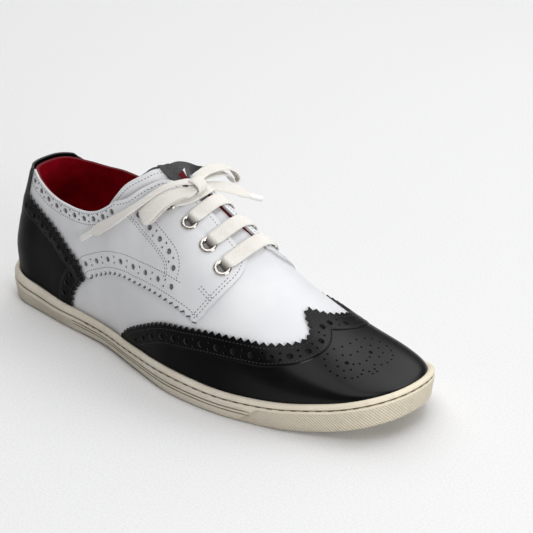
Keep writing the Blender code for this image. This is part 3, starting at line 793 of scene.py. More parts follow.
def step_off(run, distance):
    """A run moved to its left over the last, by a true distance on the curved leather."""
    wanted = np.broadcast_to(np.asarray(distance, float), len(run))
    start, left, reach = skin(run[:, 0], run[:, 1]), beside(run), wanted
    for _ in range(STEP_ROUNDS):
        points = moved(run, left * reach[:, None])
        gone = np.linalg.norm(skin(points[:, 0], points[:, 1]) - start, axis=1)
        reach = reach * np.abs(wanted) / np.maximum(gone, TINY)
    return points


def by_length(run, pitch, margin=0.0):
    """Points on a run at an even pitch over the last, and a margin from its ends."""
    at = running_length(skin(run[:, 0], run[:, 1]))
    count = max(2, round((at[-1] - 2 * margin) / pitch) + 1)
    read = np.linspace(margin, at[-1] - margin, count)
    return np.stack([np.interp(read, at, run[:, 0]), np.interp(read, at, run[:, 1])], -1)


def pinked(run, grow=0.0, pitch=PINK_PITCH):
    """A run cut in teeth, moved to its left by grow."""
    teeth = by_length(run, pitch / 2)
    push = np.where(np.arange(len(teeth)) % 2, PINK_DEPTH / 2, -PINK_DEPTH / 2)
    push[[0, -1]] = 0
    return step_off(teeth, push + grow)


def circles(centres, radius, sides, stretch=1.0):
    """Rings of (p, q) round centres, stretched along the foot."""
    along, up = tangents(centres[:, 0], centres[:, 1])
    first = unit(along)
    second = unit(up - (up * first).sum(-1, keepdims=True) * first)
    rings = []
    for turn in np.linspace(0, 2 * math.pi, sides, endpoint=False):
        ahead = stretch * math.cos(turn) * first
        rings.append(moved(centres, radius * (ahead + math.sin(turn) * second)))
    return list(np.stack(rings, 1))


def brogue_row(run, pitch, margin):
    """Rings of one brogued row: big holes, with two pinholes between each pair."""
    big = by_length(run, pitch, margin)
    middles = (big[1:] + big[:-1]) / 2
    pins = np.concatenate([step_off(middles, PIN_APART), step_off(middles, -PIN_APART)])
    holes = circles(big, BIG_HOLE, BIG_HOLE_SIDES, HOLE_STRETCH)
    return holes + circles(pins, PIN_HOLE, PIN_HOLE_SIDES, HOLE_STRETCH)


def joined(*runs):
    """One outline from runs whose ends meet."""
    points = np.concatenate(runs)
    gap = np.linalg.norm((points - np.roll(points, 1, axis=0)) * SCALE, axis=1)
    return points[gap > MEET]


def mirrored(run):
    """A run of (p, q) on the other side of the ridge."""
    return run * (1, -1) + (0, 2)


def inside(outline, points, clear):
    """Which points lie in the outline, and further than clear from its edge, in scaled units."""
    crossing = np.zeros(len(points), bool)
    nearest = np.full(len(points), np.inf)
    for start, end in zip(outline, np.roll(outline, -1, axis=0)):
        spans = (start[1] > points[:, 1]) != (end[1] > points[:, 1])
        run = end - start
        rise = run[1] if run[1] else TINY
        crossing ^= spans & (points[:, 0] < start[0] + (points[:, 1] - start[1]) * run[0] / rise)
        t = np.clip((points - start) @ run / max(run @ run, TINY), 0, 1)
        nearest = np.minimum(nearest, np.linalg.norm(points - start - t[:, None] * run, axis=1))
    return crossing & (nearest > clear)


# Blender helpers


def world(points):
    """Table millimetres as scene metres."""
    return (np.asarray(points, float) - (LENGTH / 2, MIDDLE_Y, 0)) * MM


def add_piece(name, points, faces, materials, smooth_angle=SMOOTH_ANGLE, uv=None, slots=None):
    """A piece from points in table millimetres, riding on the shoe; doubled points are welded."""
    mesh = bpy.data.meshes.new(name)
    mesh.from_pydata(world(points).tolist(), [], [list(map(int, face)) for face in faces])
    for material in materials:
        mesh.materials.append(material)
    if slots is not None:
        mesh.polygons.foreach_set("material_index", np.asarray(slots, np.int32))
    if uv is not None:
        corners = np.empty(len(mesh.loops), np.int32)
        mesh.loops.foreach_get("vertex_index", corners)
        layer = mesh.uv_layers.new(name="run")
        layer.data.foreach_set("uv", (np.asarray(uv)[corners] * MM).astype(np.float32).ravel())
    work = bmesh.new()
    work.from_mesh(mesh)
    bmesh.ops.remove_doubles(work, verts=work.verts, dist=WELD * MM)
    work.to_mesh(mesh)
    work.free()
    mesh.shade_smooth()
    mesh.set_sharp_from_angle(angle=math.radians(smooth_angle))
    piece = bpy.data.objects.new(name, mesh)
    bpy.context.scene.collection.objects.link(piece)
    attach(piece, "root")
    return piece


def choose(piece):
    """Makes a piece the only selected and active one."""
    bpy.ops.object.select_all(action="DESELECT")
    piece.select_set(True)
    bpy.context.view_layer.objects.active = piece


def thicken(piece, wall, outward, back_slots=0, rim_slots=0):
    """Gives an open surface its wall, in millimetres."""
    choose(piece)
    bpy.ops.object.modifier_add(type="SOLIDIFY")
    shell = piece.modifiers[-1]
    shell.thickness = wall * MM
    shell.offset = 1 if outward else -1
    shell.use_quality_normals = True
    shell.material_offset = back_slots
    shell.material_offset_rim = rim_slots
    bpy.ops.object.modifier_apply(modifier=shell.name)
    bpy.ops.object.shade_smooth_by_angle(angle=math.radians(SMOOTH_ANGLE))


def grid_faces(rows, columns, first=0):
    """Quads of a grid of points stored row by row."""
    i, j = np.meshgrid(np.arange(rows - 1), np.arange(columns - 1), indexing="ij")
    a = (first + i * columns + j).ravel()
    return np.stack([a, a + 1, a + columns + 1, a + columns], -1)


def from_edge(at, edges):
    """How far points of (p, q) are from the nearest of some edges, over the last."""
    points = skin(at[:, 0], at[:, 1])
    nearest = np.full(len(at), np.inf)
    for edge in edges:
        for mark in skin(edge[:, 0], edge[:, 1]):
            nearest = np.minimum(nearest, ((points - mark) ** 2).sum(axis=1))
    return np.sqrt(nearest)


def band_height(edges, width, level):
    """Height of a panel with a thicker band along its edges."""

    def height(at):
        share = np.clip((width - from_edge(at, edges)) / BAND_SLOPE, 0, 1)
        return (level(at) if callable(level) else level) + BAND_STEP * share

    return height


def fill_points(edge, rings, lines, fine):
    """Staggered points inside a panel's edge, clear of the edge, its holes and its lines."""
    low, high = edge.min(axis=0), edge.max(axis=0)
    columns, rows = np.arange(low[0], high[0], fine), np.arange(low[1], high[1], fine * ROW_SHARE)
    across, up = np.meshgrid(columns, rows)
    across = across + np.where(np.arange(len(across)) % 2, fine / 2, 0)[:, None]
    fill = np.stack([across, up], -1).reshape(-1, 2)
    fill = fill[inside(edge, fill, fine * EDGE_CLEAR)]
    for ring in rings:
        middle = ring.mean(axis=0)
        reach = np.linalg.norm(ring - middle, axis=1).max() + fine * HOLE_CLEAR
        fill = fill[np.linalg.norm(fill - middle, axis=1) > reach]
    for line in lines:
        for point in line[::2]:
            fill = fill[np.linalg.norm(fill - point, axis=1) > fine * LINE_CLEAR]
    return fill


def cut_panel(name, outline, holes, height, wall, materials, fine=PANEL_FINE, lines=()):
    """A leather piece cut to an outline of (p, q) with punched holes, laid over the last."""
    edge = outline * SCALE
    ahead = np.roll(edge, -1, axis=0)
    if (edge[:, 0] * ahead[:, 1] - ahead[:, 0] * edge[:, 1]).sum() < 0:
        edge = edge[::-1]
    rings = [ring * SCALE for ring in holes]
    lines = [line * SCALE for line in lines]
    flat = np.concatenate([edge, *rings, *lines, fill_points(edge, rings, lines, fine)])
    label = np.full(len(flat), -1)
    segments, first = [], len(edge)
    for number, ring in enumerate(rings):
        label[first : first + len(ring)] = number
        around = np.arange(len(ring))
        segments += list(zip((first + around).tolist(), (first + np.roll(around, -1)).tolist()))
        first += len(ring)
    for line in lines:
        around = np.arange(first, first + len(line) - 1)
        segments += list(zip(around.tolist(), (around + 1).tolist()))
        first += len(line)
    cut = delaunay_2d_cdt(
        [Vector(point) for point in flat], segments, [list(range(len(edge)))], INSIDE_ONLY, TINY
    )
    at = np.array([tuple(point) for point in cut[0]]) / SCALE
    owner = np.array([label[source[0]] if source else -1 for source in cut[3]])
    corners = np.array(cut[2])
    ring_of = owner[corners]
    punched_out = (ring_of[:, 0] >= 0) & (ring_of == ring_of[:, :1]).all(axis=1)
    level = height(at) if callable(height) else np.full(len(at), height)
    points = surface(at[:, 0], at[:, 1], level)
    panel = add_piece(name, points, corners[~punched_out], materials)
    # The cut walls of the edge and the holes take the last material: on the white panels the raw edge's
    # grey with painted shade, on the black ones the raw edge's grey with painted highlight
    thicken(panel, wall, outward=True, rim_slots=len(materials) - 1)
    return panel


def stand_on(p, q, height):
    """Matrix standing on the shoe: X along the foot, Z outwards."""
    p, q = np.array([p], float), np.array([q], float)
    along, up = tangents(p, q)
    normal = unit(np.cross(along, up))[0]
    first = unit(along)[0]
    second = np.cross(normal, first)
    turn = Matrix(np.stack([first, second, normal], 1).tolist())
    origin = world(surface(p, q, np.array([height]))[0])
    return Matrix.Translation(Vector(origin)) @ turn.to_4x4()


# Materials


class Value:
    """A shader socket to reckon with, so that a pattern is written as a formula."""

    def __init__(self, graph, socket):
        self.graph, self.socket = graph, socket

    def maths(self, operation, first, second=0.0):
        return self.graph.node("ShaderNodeMath", {"operation": operation}, {0: first, 1: second})

    def __add__(self, other):
        return self.maths("ADD", self, other)

    def __sub__(self, other):
        return self.maths("SUBTRACT", self, other)

    def __rsub__(self, other):
        return self.maths("SUBTRACT", other, self)

    def __mul__(self, other):
        return self.maths("MULTIPLY", self, other)

    __radd__ = __add__
    __rmul__ = __mul__

    def wave(self, length):
        """A sine of this length, from 0 to 1."""
        return 0.5 + 0.5 * self.maths("SINE", self * (2 * math.pi / length))

    def rise(self, low, high):
        """0 at low and 1 at high, softly."""
        limits = {"From Min": low, "From Max": high}
        return self.graph.node(
            "ShaderNodeMapRange", {"interpolation_type": "SMOOTHSTEP"}, {"Value": self, **limits}
        )


class Finish:
    """A material's node tree, built by formulas."""

    def __init__(self, name, **constants):
        self.material = bpy.data.materials.new(name)
        self.material.use_nodes = True
        self.tree = self.material.node_tree
        self.shader = self.tree.nodes["Principled BSDF"]
        self.paint(**{key.replace("_", " "): value for key, value in constants.items()})
        self.place = None

    def put(self, socket, value):
        """Links a value to a socket, or sets the socket to a number or a colour."""
        if isinstance(value, Value):
            self.tree.links.new(value.socket, socket)
        elif isinstance(value, tuple) and len(value) == 3 and socket.type == "RGBA":
            socket.default_value = (*value, 1)
        else:
            socket.default_value = value

    def node(self, kind, settings=(), inputs=(), out=0):
        """Any node, with its settings, and its inputs as values or links."""
        node = self.tree.nodes.new(kind)
        for key, value in dict(settings).items():
            setattr(node, key, value)
        for key, value in dict(inputs).items():
            self.put(node.inputs[key], value)
        return Value(self, node.outputs[out])

    def paint(self, **inputs):
        """Sets or links inputs of the material's shader."""
        for key, value in inputs.items():
            self.put(self.shader.inputs[key], value)
        return self

    def where(self):
        """The place on the shoe, in metres."""
        if self.place is None:
            self.place = self.node("ShaderNodeTexCoord", out="Object")
        return self.place

    def axes(self):
        """The place's x, y and z as values."""
        split = self.node("ShaderNodeSeparateXYZ", {}, {0: self.where()}).socket.node
        return [Value(self, socket) for socket in split.outputs]

    def run(self):
        """The piece's own run: across and along it, in metres."""
        uv = self.node("ShaderNodeUVMap", {"uv_map": "run"})
        split = self.node("ShaderNodeSeparateXYZ", {}, {0: uv}).socket.node
        return Value(self, split.outputs[0]), Value(self, split.outputs[1])

    def noise(self, size, detail=2.0, roughness=0.5):
        """Noise with lumps of about this size, in millimetres."""
        values = {"Vector": self.where(), "Scale": 1 / (size * MM), "Detail": detail}
        return self.node("ShaderNodeTexNoise", {}, {**values, "Roughness": roughness})

    def cells(self, size):
        """Distance from the middle of cells of about this size, in millimetres."""
        values = {"Vector": self.where(), "Scale": 1 / (size * MM)}
        return self.node("ShaderNodeTexVoronoi", {"feature": "F1"}, values)

    def mix(self, share, first, second):
        """The first colour, and as much of the second as the share says."""
        return self.node("ShaderNodeMix", {"data_type": "RGBA"}, {0: share, 6: first, 7: second}, out=2)

    def bump(self, height, depth, strength):
        """Normals from a height of 0 to 1, standing this many millimetres."""
        values = {"Height": height, "Distance": depth * MM, "Strength": strength}
        return self.node("ShaderNodeBump", {}, values)


def white_leather():
    """White leather with a fine grain, a little soiled."""
    finish = Finish("white_leather", IOR=1.45, Coat_Weight=0.06, Coat_Roughness=0.3)
    cloud = finish.noise(34, 3).rise(0.35, 0.68)
    grain = finish.cells(0.75) * 0.6 + finish.noise(0.9, 3) * 0.5
    soiled = finish.noise(13, 4, 0.65).rise(0.60, 0.82)
    colour = finish.mix(cloud, (0.685, 0.69, 0.71), (0.735, 0.74, 0.755))
    colour = finish.mix(soiled * 0.35, colour, (0.60, 0.59, 0.585))
    return finish.paint(**{
        "Base Color": colour,
        "Roughness": 0.36 + 0.14 * cloud + 0.08 * finish.noise(3.0),
        "Normal": finish.bump(grain, 0.05, 0.55),
    }).material


def black_leather():
    """Black leather, matt on the sides and polished at the toe."""
    finish = Finish("black_leather", IOR=1.09, Coat_Roughness=0.27, Coat_IOR=1.45)
    cloud = finish.noise(26, 3).rise(0.32, 0.70)
    polished = finish.axes()[0].rise(0.055, 0.105)
    grain = finish.cells(0.7) * 0.6 + finish.noise(0.8, 3) * 0.6
    rubbed = finish.noise(7, 5, 0.7).rise(0.62, 0.80)
    colour = finish.mix(cloud, (0.0022, 0.0022, 0.0025), (0.0045, 0.0045, 0.0049))
    colour = finish.mix(rubbed * 0.25, colour, (0.014, 0.014, 0.0145))
    return finish.paint(**{
        "Base Color": colour,
        "Roughness": 0.32 + 0.10 * cloud + 0.10 * rubbed,
        "Coat Weight": 0.05 + 0.33 * polished - 0.05 * cloud,
        "Normal": finish.bump(grain, 0.06, 0.7),
    }).material


def red_lining():
    """Red cloth with a short nap."""
    finish = Finish("red_lining", Roughness=0.95, Specular_IOR_Level=0.05)
    nap = finish.noise(9, 4, 0.65).rise(0.3, 0.72)
    fibre = finish.noise(0.55, 3, 0.7)
    colour = finish.mix(nap, (0.24, 0.0015, 0.008), (0.40, 0.003, 0.014))
    return finish.paint(**{
        "Base Color": finish.mix(0.35 * fibre, colour, (0.40, 0.006, 0.02)),
        "Normal": finish.bump(fibre, 0.16, 0.8),
    }).material


def cream_rubber():
    """Cream rubber, yellowed at the toe, with a twill in the toe and heel, painted shade in the twill's
    grooves, and some grime.
    """
    finish = Finish("cream_rubber", IOR=1.5)
    x, _, z = finish.axes()
    along, drop = finish.run()
    toe_slant, heel_slant = x - z * 1.25, x - z * 1.2
    toe = toe_slant.rise(0.0750, 0.0775)
    heel = heel_slant.rise(-0.082, -0.076)
    wall = drop.rise(0.0046, 0.0053) * z.rise(0.001, 0.002)
    moulded = (toe + (1 - heel)) * wall
    twill = (along - drop).wave(0.0017) * moulded
    seam = toe_slant.rise(0.0730, 0.0745) * (1 - toe) * wall
    cloud = finish.noise(18, 4, 0.6).rise(0.35, 0.7)
    speck = finish.noise(2.2, 4, 0.7).rise(0.68, 0.80)
    grime = finish.noise(9, 5, 0.7).rise(0.50, 0.74)
    low = 1 - z.rise(0.0005, 0.008)
    yellow = x.rise(0.06, 0.15)
    colour = finish.mix(cloud, (0.65, 0.585, 0.475), (0.73, 0.68, 0.58))
    colour = finish.mix(yellow * 0.55, colour, (0.80, 0.72, 0.54))
    colour = finish.mix(low * 0.35, colour, (0.46, 0.40, 0.30))
    colour = finish.mix(grime * 0.28, colour, (0.36, 0.31, 0.23))
    colour = finish.mix(speck * 0.5, colour, (0.22, 0.18, 0.13))
    # The twilled patches are darker in the grooves of the twill: painted shade; the seam is a dark line
    # just before the toe's twill
    colour = finish.mix(moulded * 0.42 - twill * 0.42 + seam * 0.5, colour, (0.30, 0.25, 0.18))
    return finish.paint(**{
        "Base Color": colour,
        "Roughness": 0.52 + 0.2 * cloud,
        "Normal": finish.bump(twill + 0.25 * finish.noise(0.8, 3), 0.40, 1.0),
    }).material


def cotton_lace():
    """Flat cotton braid: ribs across the band's own run, a little soiled, and darker near its ends in the
    eyelets.
    """
    finish = Finish("cotton_lace", Roughness=0.95, Sheen_Weight=0.25, Sheen_Roughness=0.6)
    across, along = finish.run()
    weave = (along + across).wave(0.0011) * (along - across).wave(0.0011)
    soiled = finish.noise(8, 4, 0.6).rise(0.45, 0.8)
    # Dark brown over the first few millimetres from an end in an eyelet
    darker_by_eyelets = 1 - along.rise(0.0030, 0.0080)
    colour = finish.mix(weave, (0.79, 0.76, 0.705), (0.98, 0.96, 0.925))
    colour = finish.mix(soiled * 0.25, colour, (0.74, 0.63, 0.52))
    return finish.paint(**{
        "Base Color": finish.mix(darker_by_eyelets * 0.9, colour, (0.055, 0.032, 0.02)),
        "Normal": finish.bump(weave + 0.4 * finish.noise(0.4, 2), 0.24, 0.9),
    }).material


def grey_felt():
    """Dark grey felt."""
    finish = Finish("grey_felt", Roughness=0.97, Sheen_Weight=0.3, Sheen_Roughness=0.6)
    fibre = finish.noise(0.8, 5, 0.75)
    return finish.paint(**{
        "Base Color": finish.mix(fibre.rise(0.3, 0.7), (0.018, 0.018, 0.0195), (0.062, 0.062, 0.065)),
        "Normal": finish.bump(fibre, 0.3, 0.9),
    }).material


def nickel():
    """Worn nickel."""
    finish = Finish("nickel", Metallic=1.0)
    worn = finish.noise(1.5, 4, 0.6).rise(0.4, 0.7)
    return finish.paint(**{
        "Base Color": finish.mix(worn, (0.50, 0.47, 0.43), (0.66, 0.64, 0.60)),
        "Roughness": 0.2 + 0.16 * worn,
    }).material


def plain(name, colour, roughness):
    """A plain finish with a little unevenness, for threads, cut edges, tips and painted shade."""
    finish = Finish(name)
    uneven = finish.noise(1.2, 3)
    darker = tuple(0.75 * part for part in colour)
    return finish.paint(**{
        "Base Color": finish.mix(uneven, darker, colour),
        "Roughness": roughness + 0.1 * uneven,
    }).material


# The outlines of the panels, which the upper's painted hole shade follows as well


def wing_outline():
    """The wing cap's edge from the outer to the inner side, and its whole outline."""
    side = edge_run(WING_SIDE)
    rows = np.concatenate([side, edge_run(WING_TOP), mirrored(side)[::-1]])
    peak = np.argmax(rows[:, 1] >= WING_PEAK)
    edge = np.concatenate([spread(rows[: peak + 1]), spread(rows[peak:])[1:]])
    start = np.array([[edge[0, 0], PANEL_FOOT]])
    corner = (WING_TIP_TURN, PANEL_FOOT)
    foot = spread([start[0], corner], PANEL_FOOT_STEP)
    tip = spread([corner, (WING_TIP_TURN, 2 - PANEL_FOOT)], WING_TIP_STEP)
    return edge, joined(foot, tip, mirrored(foot)[::-1], pinked(edge)[::-1], start)


def counter_outline():
    """The counter's edge from the sole up to its back strip, as on the outer side, and its outline."""
    rise = spread(edge_run(COUNTER_FOOT))[::-1]
    edge = spread(edge_run(COUNTER_EDGE))[::-1]
    teeth = {}
    for side, x in STRIP_END.items():
        strip = spread([edge[-1], (turn_of(x), trim(x, side) + STRIP_LIP)])
        teeth[side] = np.concatenate([pinked(rise), pinked(edge), strip])
    top_turns = np.linspace(turn_of(STRIP_END[LATERAL]), -turn_of(STRIP_END[MEDIAL]), STRIP_POINTS)
    top_x = station_x(np.abs(top_turns), UPPER_INSET)
    top = np.where(top_turns > 0, trim(top_x, LATERAL), trim(top_x, MEDIAL)) + STRIP_LIP
    foot = spread([(-rise[0, 0], PANEL_FOOT), (rise[0, 0], PANEL_FOOT)], PANEL_FOOT_STEP)
    inner = (teeth[MEDIAL] * (-1, 1))[::-1]
    return (rise, edge), joined(foot, teeth[LATERAL], np.stack([top_turns, top], -1), inner)


def quarter_outline(side):
    """A quarter's collar, front and foot, and its whole outline, as on the outer side."""
    back = spread(edge_run(COUNTER_EDGE, -TUCK))[::-1]
    top_x = np.linspace(max(STRIP_END[side] - TUCK, TUCK_FROM), THROAT_X, COLLAR_POINTS)
    tucked = TUCK_DROP * np.clip((STRIP_END[side] - top_x) / TUCK_BLEND, 0, 1)
    along_collar = np.clip((COLLAR_END - top_x) / COLLAR_BLEND, 0, 1)
    tucked = tucked + (COLLAR_DROP if side == MEDIAL else -COLLAR_RISE) * along_collar
    collar = np.stack([turn_of(top_x), trim(top_x, side) - tucked], -1)
    front_rows = edge_run(FACING_FRONT)
    front_rows[0] = collar[-1]
    front = spread(front_rows)
    foot = spread(edge_run(QUARTER_FOOT))
    teeth = pinked(foot, pitch=QUARTER_PINK_PITCH)
    return (collar, front, foot), joined(collar, front, teeth, back)


# The pieces


def make_upper(white_covers, black_covers, white, grey, dark, lining, edge):
    """The hollow upper: white outside, grey under the white overlays and dark under the black ones as
    painted shade for their holes, lined in red up to its edges.
    """
    turns = np.linspace(0, math.pi, UPPER_STATIONS)
    x = station_x(turns, UPPER_INSET)
    gap = (x > THROAT_X) & (x < VAMP_X)
    turns = np.sort(np.r_[turns[~gap], turn_of(np.array([THROAT_X, VAMP_X]))])
    x = station_x(turns, UPPER_INSET)
    points, faces, at = [], [], []
    for side in (LATERAL, MEDIAL):
        share = np.linspace(0, 1, UPPER_ROWS)[:, None] * trim(x, side)[None]
        p = np.broadcast_to(turns, share.shape)
        q = share if side == LATERAL else 2 - share
        grid = surface(p, q, np.zeros(share.shape))
        foot = grid[:1].copy()
        foot[..., 2] = smooth(SIDE, "floor", x) + UPPER_FOOT_RISE
        quads = grid_faces(UPPER_ROWS + 1, len(x), sum(map(len, points)))
        faces.append(quads if side == LATERAL else quads[:, ::-1])
        points.append(np.concatenate([foot, grid]).reshape(-1, 3))
        flat = np.stack([p, q], -1)
        at.append(np.concatenate([flat[:1], flat]).reshape(-1, 2))
    faces, at = np.concatenate(faces), np.concatenate(at)
    round_heel = mirrored(at) * (-1, 1)
    # Slot 1 (grey) under the white overlays and slot 2 (dark) under the black ones: painted shade that
    # shows in the punched holes
    slots = np.zeros(len(faces), int)
    for slot, covers in ((1, white_covers), (2, black_covers)):
        for outline in covers:
            under = inside(outline * SCALE, at * SCALE, COVER_CLEAR)
            under |= inside(outline * SCALE, round_heel * SCALE, COVER_CLEAR)
            slots[under[faces].all(axis=1)] = slot
    skins = [white, grey, dark]
    materials = skins + [lining] * len(skins) + [edge] * len(skins)
    upper = add_piece("shoe_upper", np.concatenate(points), faces, materials, slots=slots)
    thicken(upper, UPPER_WALL, outward=False, back_slots=len(skins), rim_slots=2 * len(skins))
    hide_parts("upper")


def medallion():
    """Pinholes of the toe: two lobes, each a hole in a ring of pins inside an open ring, and a point."""
    centre = np.array([[turn_of(MEDALLION_X), MEDALLION_GIRTH]])
    turn = math.radians(MEDALLION_TURN)
    pins = []
    for t in np.linspace(LOBE_FROM, LOBE_TO, LOBE_PINS):
        pins.append((LOBE_AHEAD - LOBE_LONG * math.cos(t), LOBE_BESIDE + LOBE_WIDE * math.sin(t)))
    pins += MEDALLION_PINS
    along, up = tangents(centre[:, 0], centre[:, 1])
    first = unit(along)[0]
    second = unit(up - (up @ first)[:, None] * first)[0]
    ahead = math.cos(turn) * first + math.sin(turn) * second
    over = math.cos(turn) * second - math.sin(turn) * first
    rings = []
    kinds = (MEDALLION_HOLES, MEDALLION_HOLE, MEDALLION_HOLE_SIDES), (pins, MEDALLION_PIN, PIN_HOLE_SIDES)
    for places, radius, sides in kinds:
        spots = [(forward, aside * side) for forward, aside in places for side in (LATERAL, MEDIAL)]
        vectors = np.array([forward * ahead + aside * over for forward, aside in spots])
        rings += circles(moved(np.repeat(centre, len(spots), axis=0), vectors), radius, sides)
    return rings


def on_wing(run):
    """The part of a run that lies clear of the sole on both sides."""
    return run[(run[:, 1] > WING_CLEAR) & (run[:, 1] < 2 - WING_CLEAR)]


def on_counter(run, side):
    """The part of a run that lies clear of the sole and below the collar."""
    x = station_x(np.abs(run[:, 0]), UPPER_INSET)
    return run[(run[:, 1] > COUNTER_CLEAR) & (run[:, 1] < trim(x, side) - STRIP_CLEAR)]


def inset_run(edges, offset):
    """A run beside edges, less what their curves fold back over it."""
    run = np.concatenate([step_off(edge, offset) for edge in edges])
    return run[from_edge(run, edges) > abs(offset) - FOLD_SLACK]


def band_lines(edges, offset, width):
    """Runs on both sides of a band's step, which keep it crisp."""
    insets = (width - 2 * BAND_SLOPE, width - BAND_SLOPE, width, width + BAND_SLOPE)
    return [inset_run(edges, offset * inset) for inset in insets]


def make_wing_cap(edge, outline, black, cut):
    """The toe's wing cap with its raised band; returns its seams and height."""
    row = on_wing(inset_run([edge], -WING_HOLES))
    outer = row[:, 1] < WING_PEAK
    holes = []
    for half in (row[outer], row[~outer]):
        holes += brogue_row(half, WING_HOLE_PITCH, WING_HOLE_MARGIN)
    holes += medallion()
    height = band_height([edge], WING_BAND, SKIN_CLEAR)
    lines = [by_length(on_wing(line), BAND_LINE_PITCH) for line in band_lines([edge], -1, WING_BAND)]
    # The cap's cut walls: the raw edge's grey, with painted highlight on the holes' walls
    cap = cut_panel("shoe_wing_cap", outline, holes, height, LEATHER, [black, cut], lines=lines)
    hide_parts("wing_cap")
    return [on_wing(inset_run([edge], -inset)) for inset in WING_SEAMS], height


def make_counter(runs, outline, black, cut):
    """The counter lies on the quarters along its edge, and on the upper behind it."""
    rise, edge = runs
    mirrors = {side: (-side, 1) for side in SIDE_NAME}

    def level(at):
        away = from_edge(at, [edge[::2] * mirror for mirror in mirrors.values()])
        over = np.clip((COUNTER_LAP - away) / COUNTER_LAP_BLEND, 0, 1)
        high = np.clip((at[:, 1] - STRIP_FROM) / STRIP_BLEND, 0, 1)
        return SKIN_CLEAR + OVER_TOP * np.maximum(over, high)

    holes, lines, seams, borders = [], [], [], []
    for side, mirror in mirrors.items():
        borders += [rise * mirror, edge * mirror]
        for run, pitch in ((rise, COUNTER_FOOT_PITCH), (edge, COUNTER_EDGE_PITCH)):
            row = on_counter(step_off(run, COUNTER_HOLES) * mirror, side)
            holes += brogue_row(row, pitch, COUNTER_HOLE_MARGIN)
            seams += [on_counter(step_off(run, inset) * mirror, side) for inset in COUNTER_SEAMS]
    height = band_height(borders, COUNTER_BAND, level)
    for line in band_lines([rise, edge], 1, COUNTER_BAND):
        for side, mirror in mirrors.items():
            lines.append(by_length(on_counter(line * mirror, side), BAND_LINE_PITCH))
    # The counter's cut walls: the raw edge's grey, with painted highlight on the holes' walls
    counter = cut_panel("shoe_heel_counter", outline, holes, height, LEATHER, [black, cut], lines=lines)
    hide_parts("heel_counter")
    return seams, height


def make_quarter(side, runs, outline, white, cut, shadow_strip):
    """One quarter with its brogued bands, and the dark strip of painted shadow under its pinked foot;
    returns its rows of stitches.
    """
    collar, front, foot = runs
    name = SIDE_NAME[side]
    flip = (lambda run: run) if side == LATERAL else mirrored
    x = station_x(collar[:, 0], UPPER_INSET)
    rows = {
        "band": collar[(x > STRIP_END[side] + BAND_START) & (x < BAND_TO)],
        "facing": collar[x > BAND_TO],
        "front": front,
        "front_foot": front[-FRONT_FOOT_POINTS:],
        "foot": foot,
        "low": foot[station_x(foot[:, 0], UPPER_INSET) < LOW_TO],
        "eyestay": spread(edge_run(EYESTAY)),
        "tack": spread(edge_run(TACK)),
    }
    holes = []
    for row, (inset, pitch, margin) in QUARTER_HOLES.items():
        holes += brogue_row(flip(step_off(rows[row], -inset)), pitch, margin)
    eyes = np.stack([turn_of(EYELETS["x"]), EYELETS[name]], -1)
    holes += circles(flip(eyes), EYELET_HOLE, EYELET_HOLE_SIDES)
    shape = outline if side == LATERAL else mirrored(outline)[::-1]
    # The quarter's cut walls: the raw edge's grey, with painted shade on the teeth and the holes' walls
    quarter = cut_panel(f"shoe_quarter_{name}", shape, holes, SKIN_CLEAR, LEATHER, [white, cut])
    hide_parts(f"quarter_{name}")
    # A thin dark strip under the pinked foot, grown past the teeth: painted shadow below them
    border = joined(step_off(foot, -SHADOW_STRIP_INSET), pinked(foot, SHADOW_STRIP_GROW, QUARTER_PINK_PITCH)[::-1])
    under = cut_panel(f"shoe_quarter_hem_{name}", flip(border), [], SHADOW_STRIP_LIFT, SHADOW_STRIP_WALL, [shadow_strip])
    seams = []
    for row, insets in QUARTER_SEAMS.items():
        seams += [flip(step_off(rows[row], -inset)) for inset in insets]
    return seams


def make_stitches(name, runs, level, material):
    """Rows of thread on the leather, each stitch a small rounded bar, in one mesh."""
    centres, ways, ups = [], [], []
    for run in runs:
        at = by_length(run, STITCH_PITCH, STITCH_PITCH / 2)
        height = level(at) + LEATHER if callable(level) else np.full(len(at), level)
        points = surface(at[:, 0], at[:, 1], height)
        along, up = tangents(at[:, 0], at[:, 1])
        centres.append(points)
        ways.append(unit(np.gradient(points, axis=0)))
        ups.append(unit(np.cross(along, up)))
    thread(name, *map(np.concatenate, (centres, ways, ups)), material, STITCH_SIZE)


def thread(name, centres, ways, ups, material, size):
    """Small rounded bars at the centres, lying along their ways."""
    length, width, rise = size
    shape = []
    for along, share in THREAD_FORM:
        for angle in np.linspace(0, math.pi, THREAD_ARC):
            beside, up = math.cos(angle) * width / 2 * share, math.sin(angle) * rise * share
            shape.append((along * length, beside, up - THREAD_SINK))
    shape = np.array(shape)
    sides = np.cross(ups, ways)
    points = centres[:, None] + shape[None, :, :1] * ways[:, None]
    points = points + shape[None, :, 1:2] * sides[:, None] + shape[None, :, 2:] * ups[:, None]
    faces = grid_faces(len(THREAD_FORM), THREAD_ARC)[:, ::-1]
    faces = (faces[None] + len(shape) * np.arange(len(centres))[:, None, None]).reshape(-1, 4)
    add_piece(name, points.reshape(-1, 3), faces, [material], THREAD_SMOOTH_ANGLE)


def felt_grid(columns, rows, lift):
    """Points of the felt's top from its upper edge down, by shares across and down it."""
    numbers = np.arange(len(FELT_CAP["x"]))
    across = columns * numbers[-1]
    read = {}
    for name, values in FELT_CAP.items():
        read[name] = smooth({"x": numbers, "y": values}, "y", across)
    top = surface(turn_of(read["x"]), read["girth"], read["height"], relief=False)
    depth = np.full(len(across), FELT_LOW)
    low = surface(turn_of(read["low_x"]), read["low_girth"], depth, relief=False)
    share = rows[:, None, None]
    points = top[None] + share * (low - top)[None]
    points[..., 2] += read["bulge"] * np.sin(math.pi * share[..., 0]) + lift
    return points


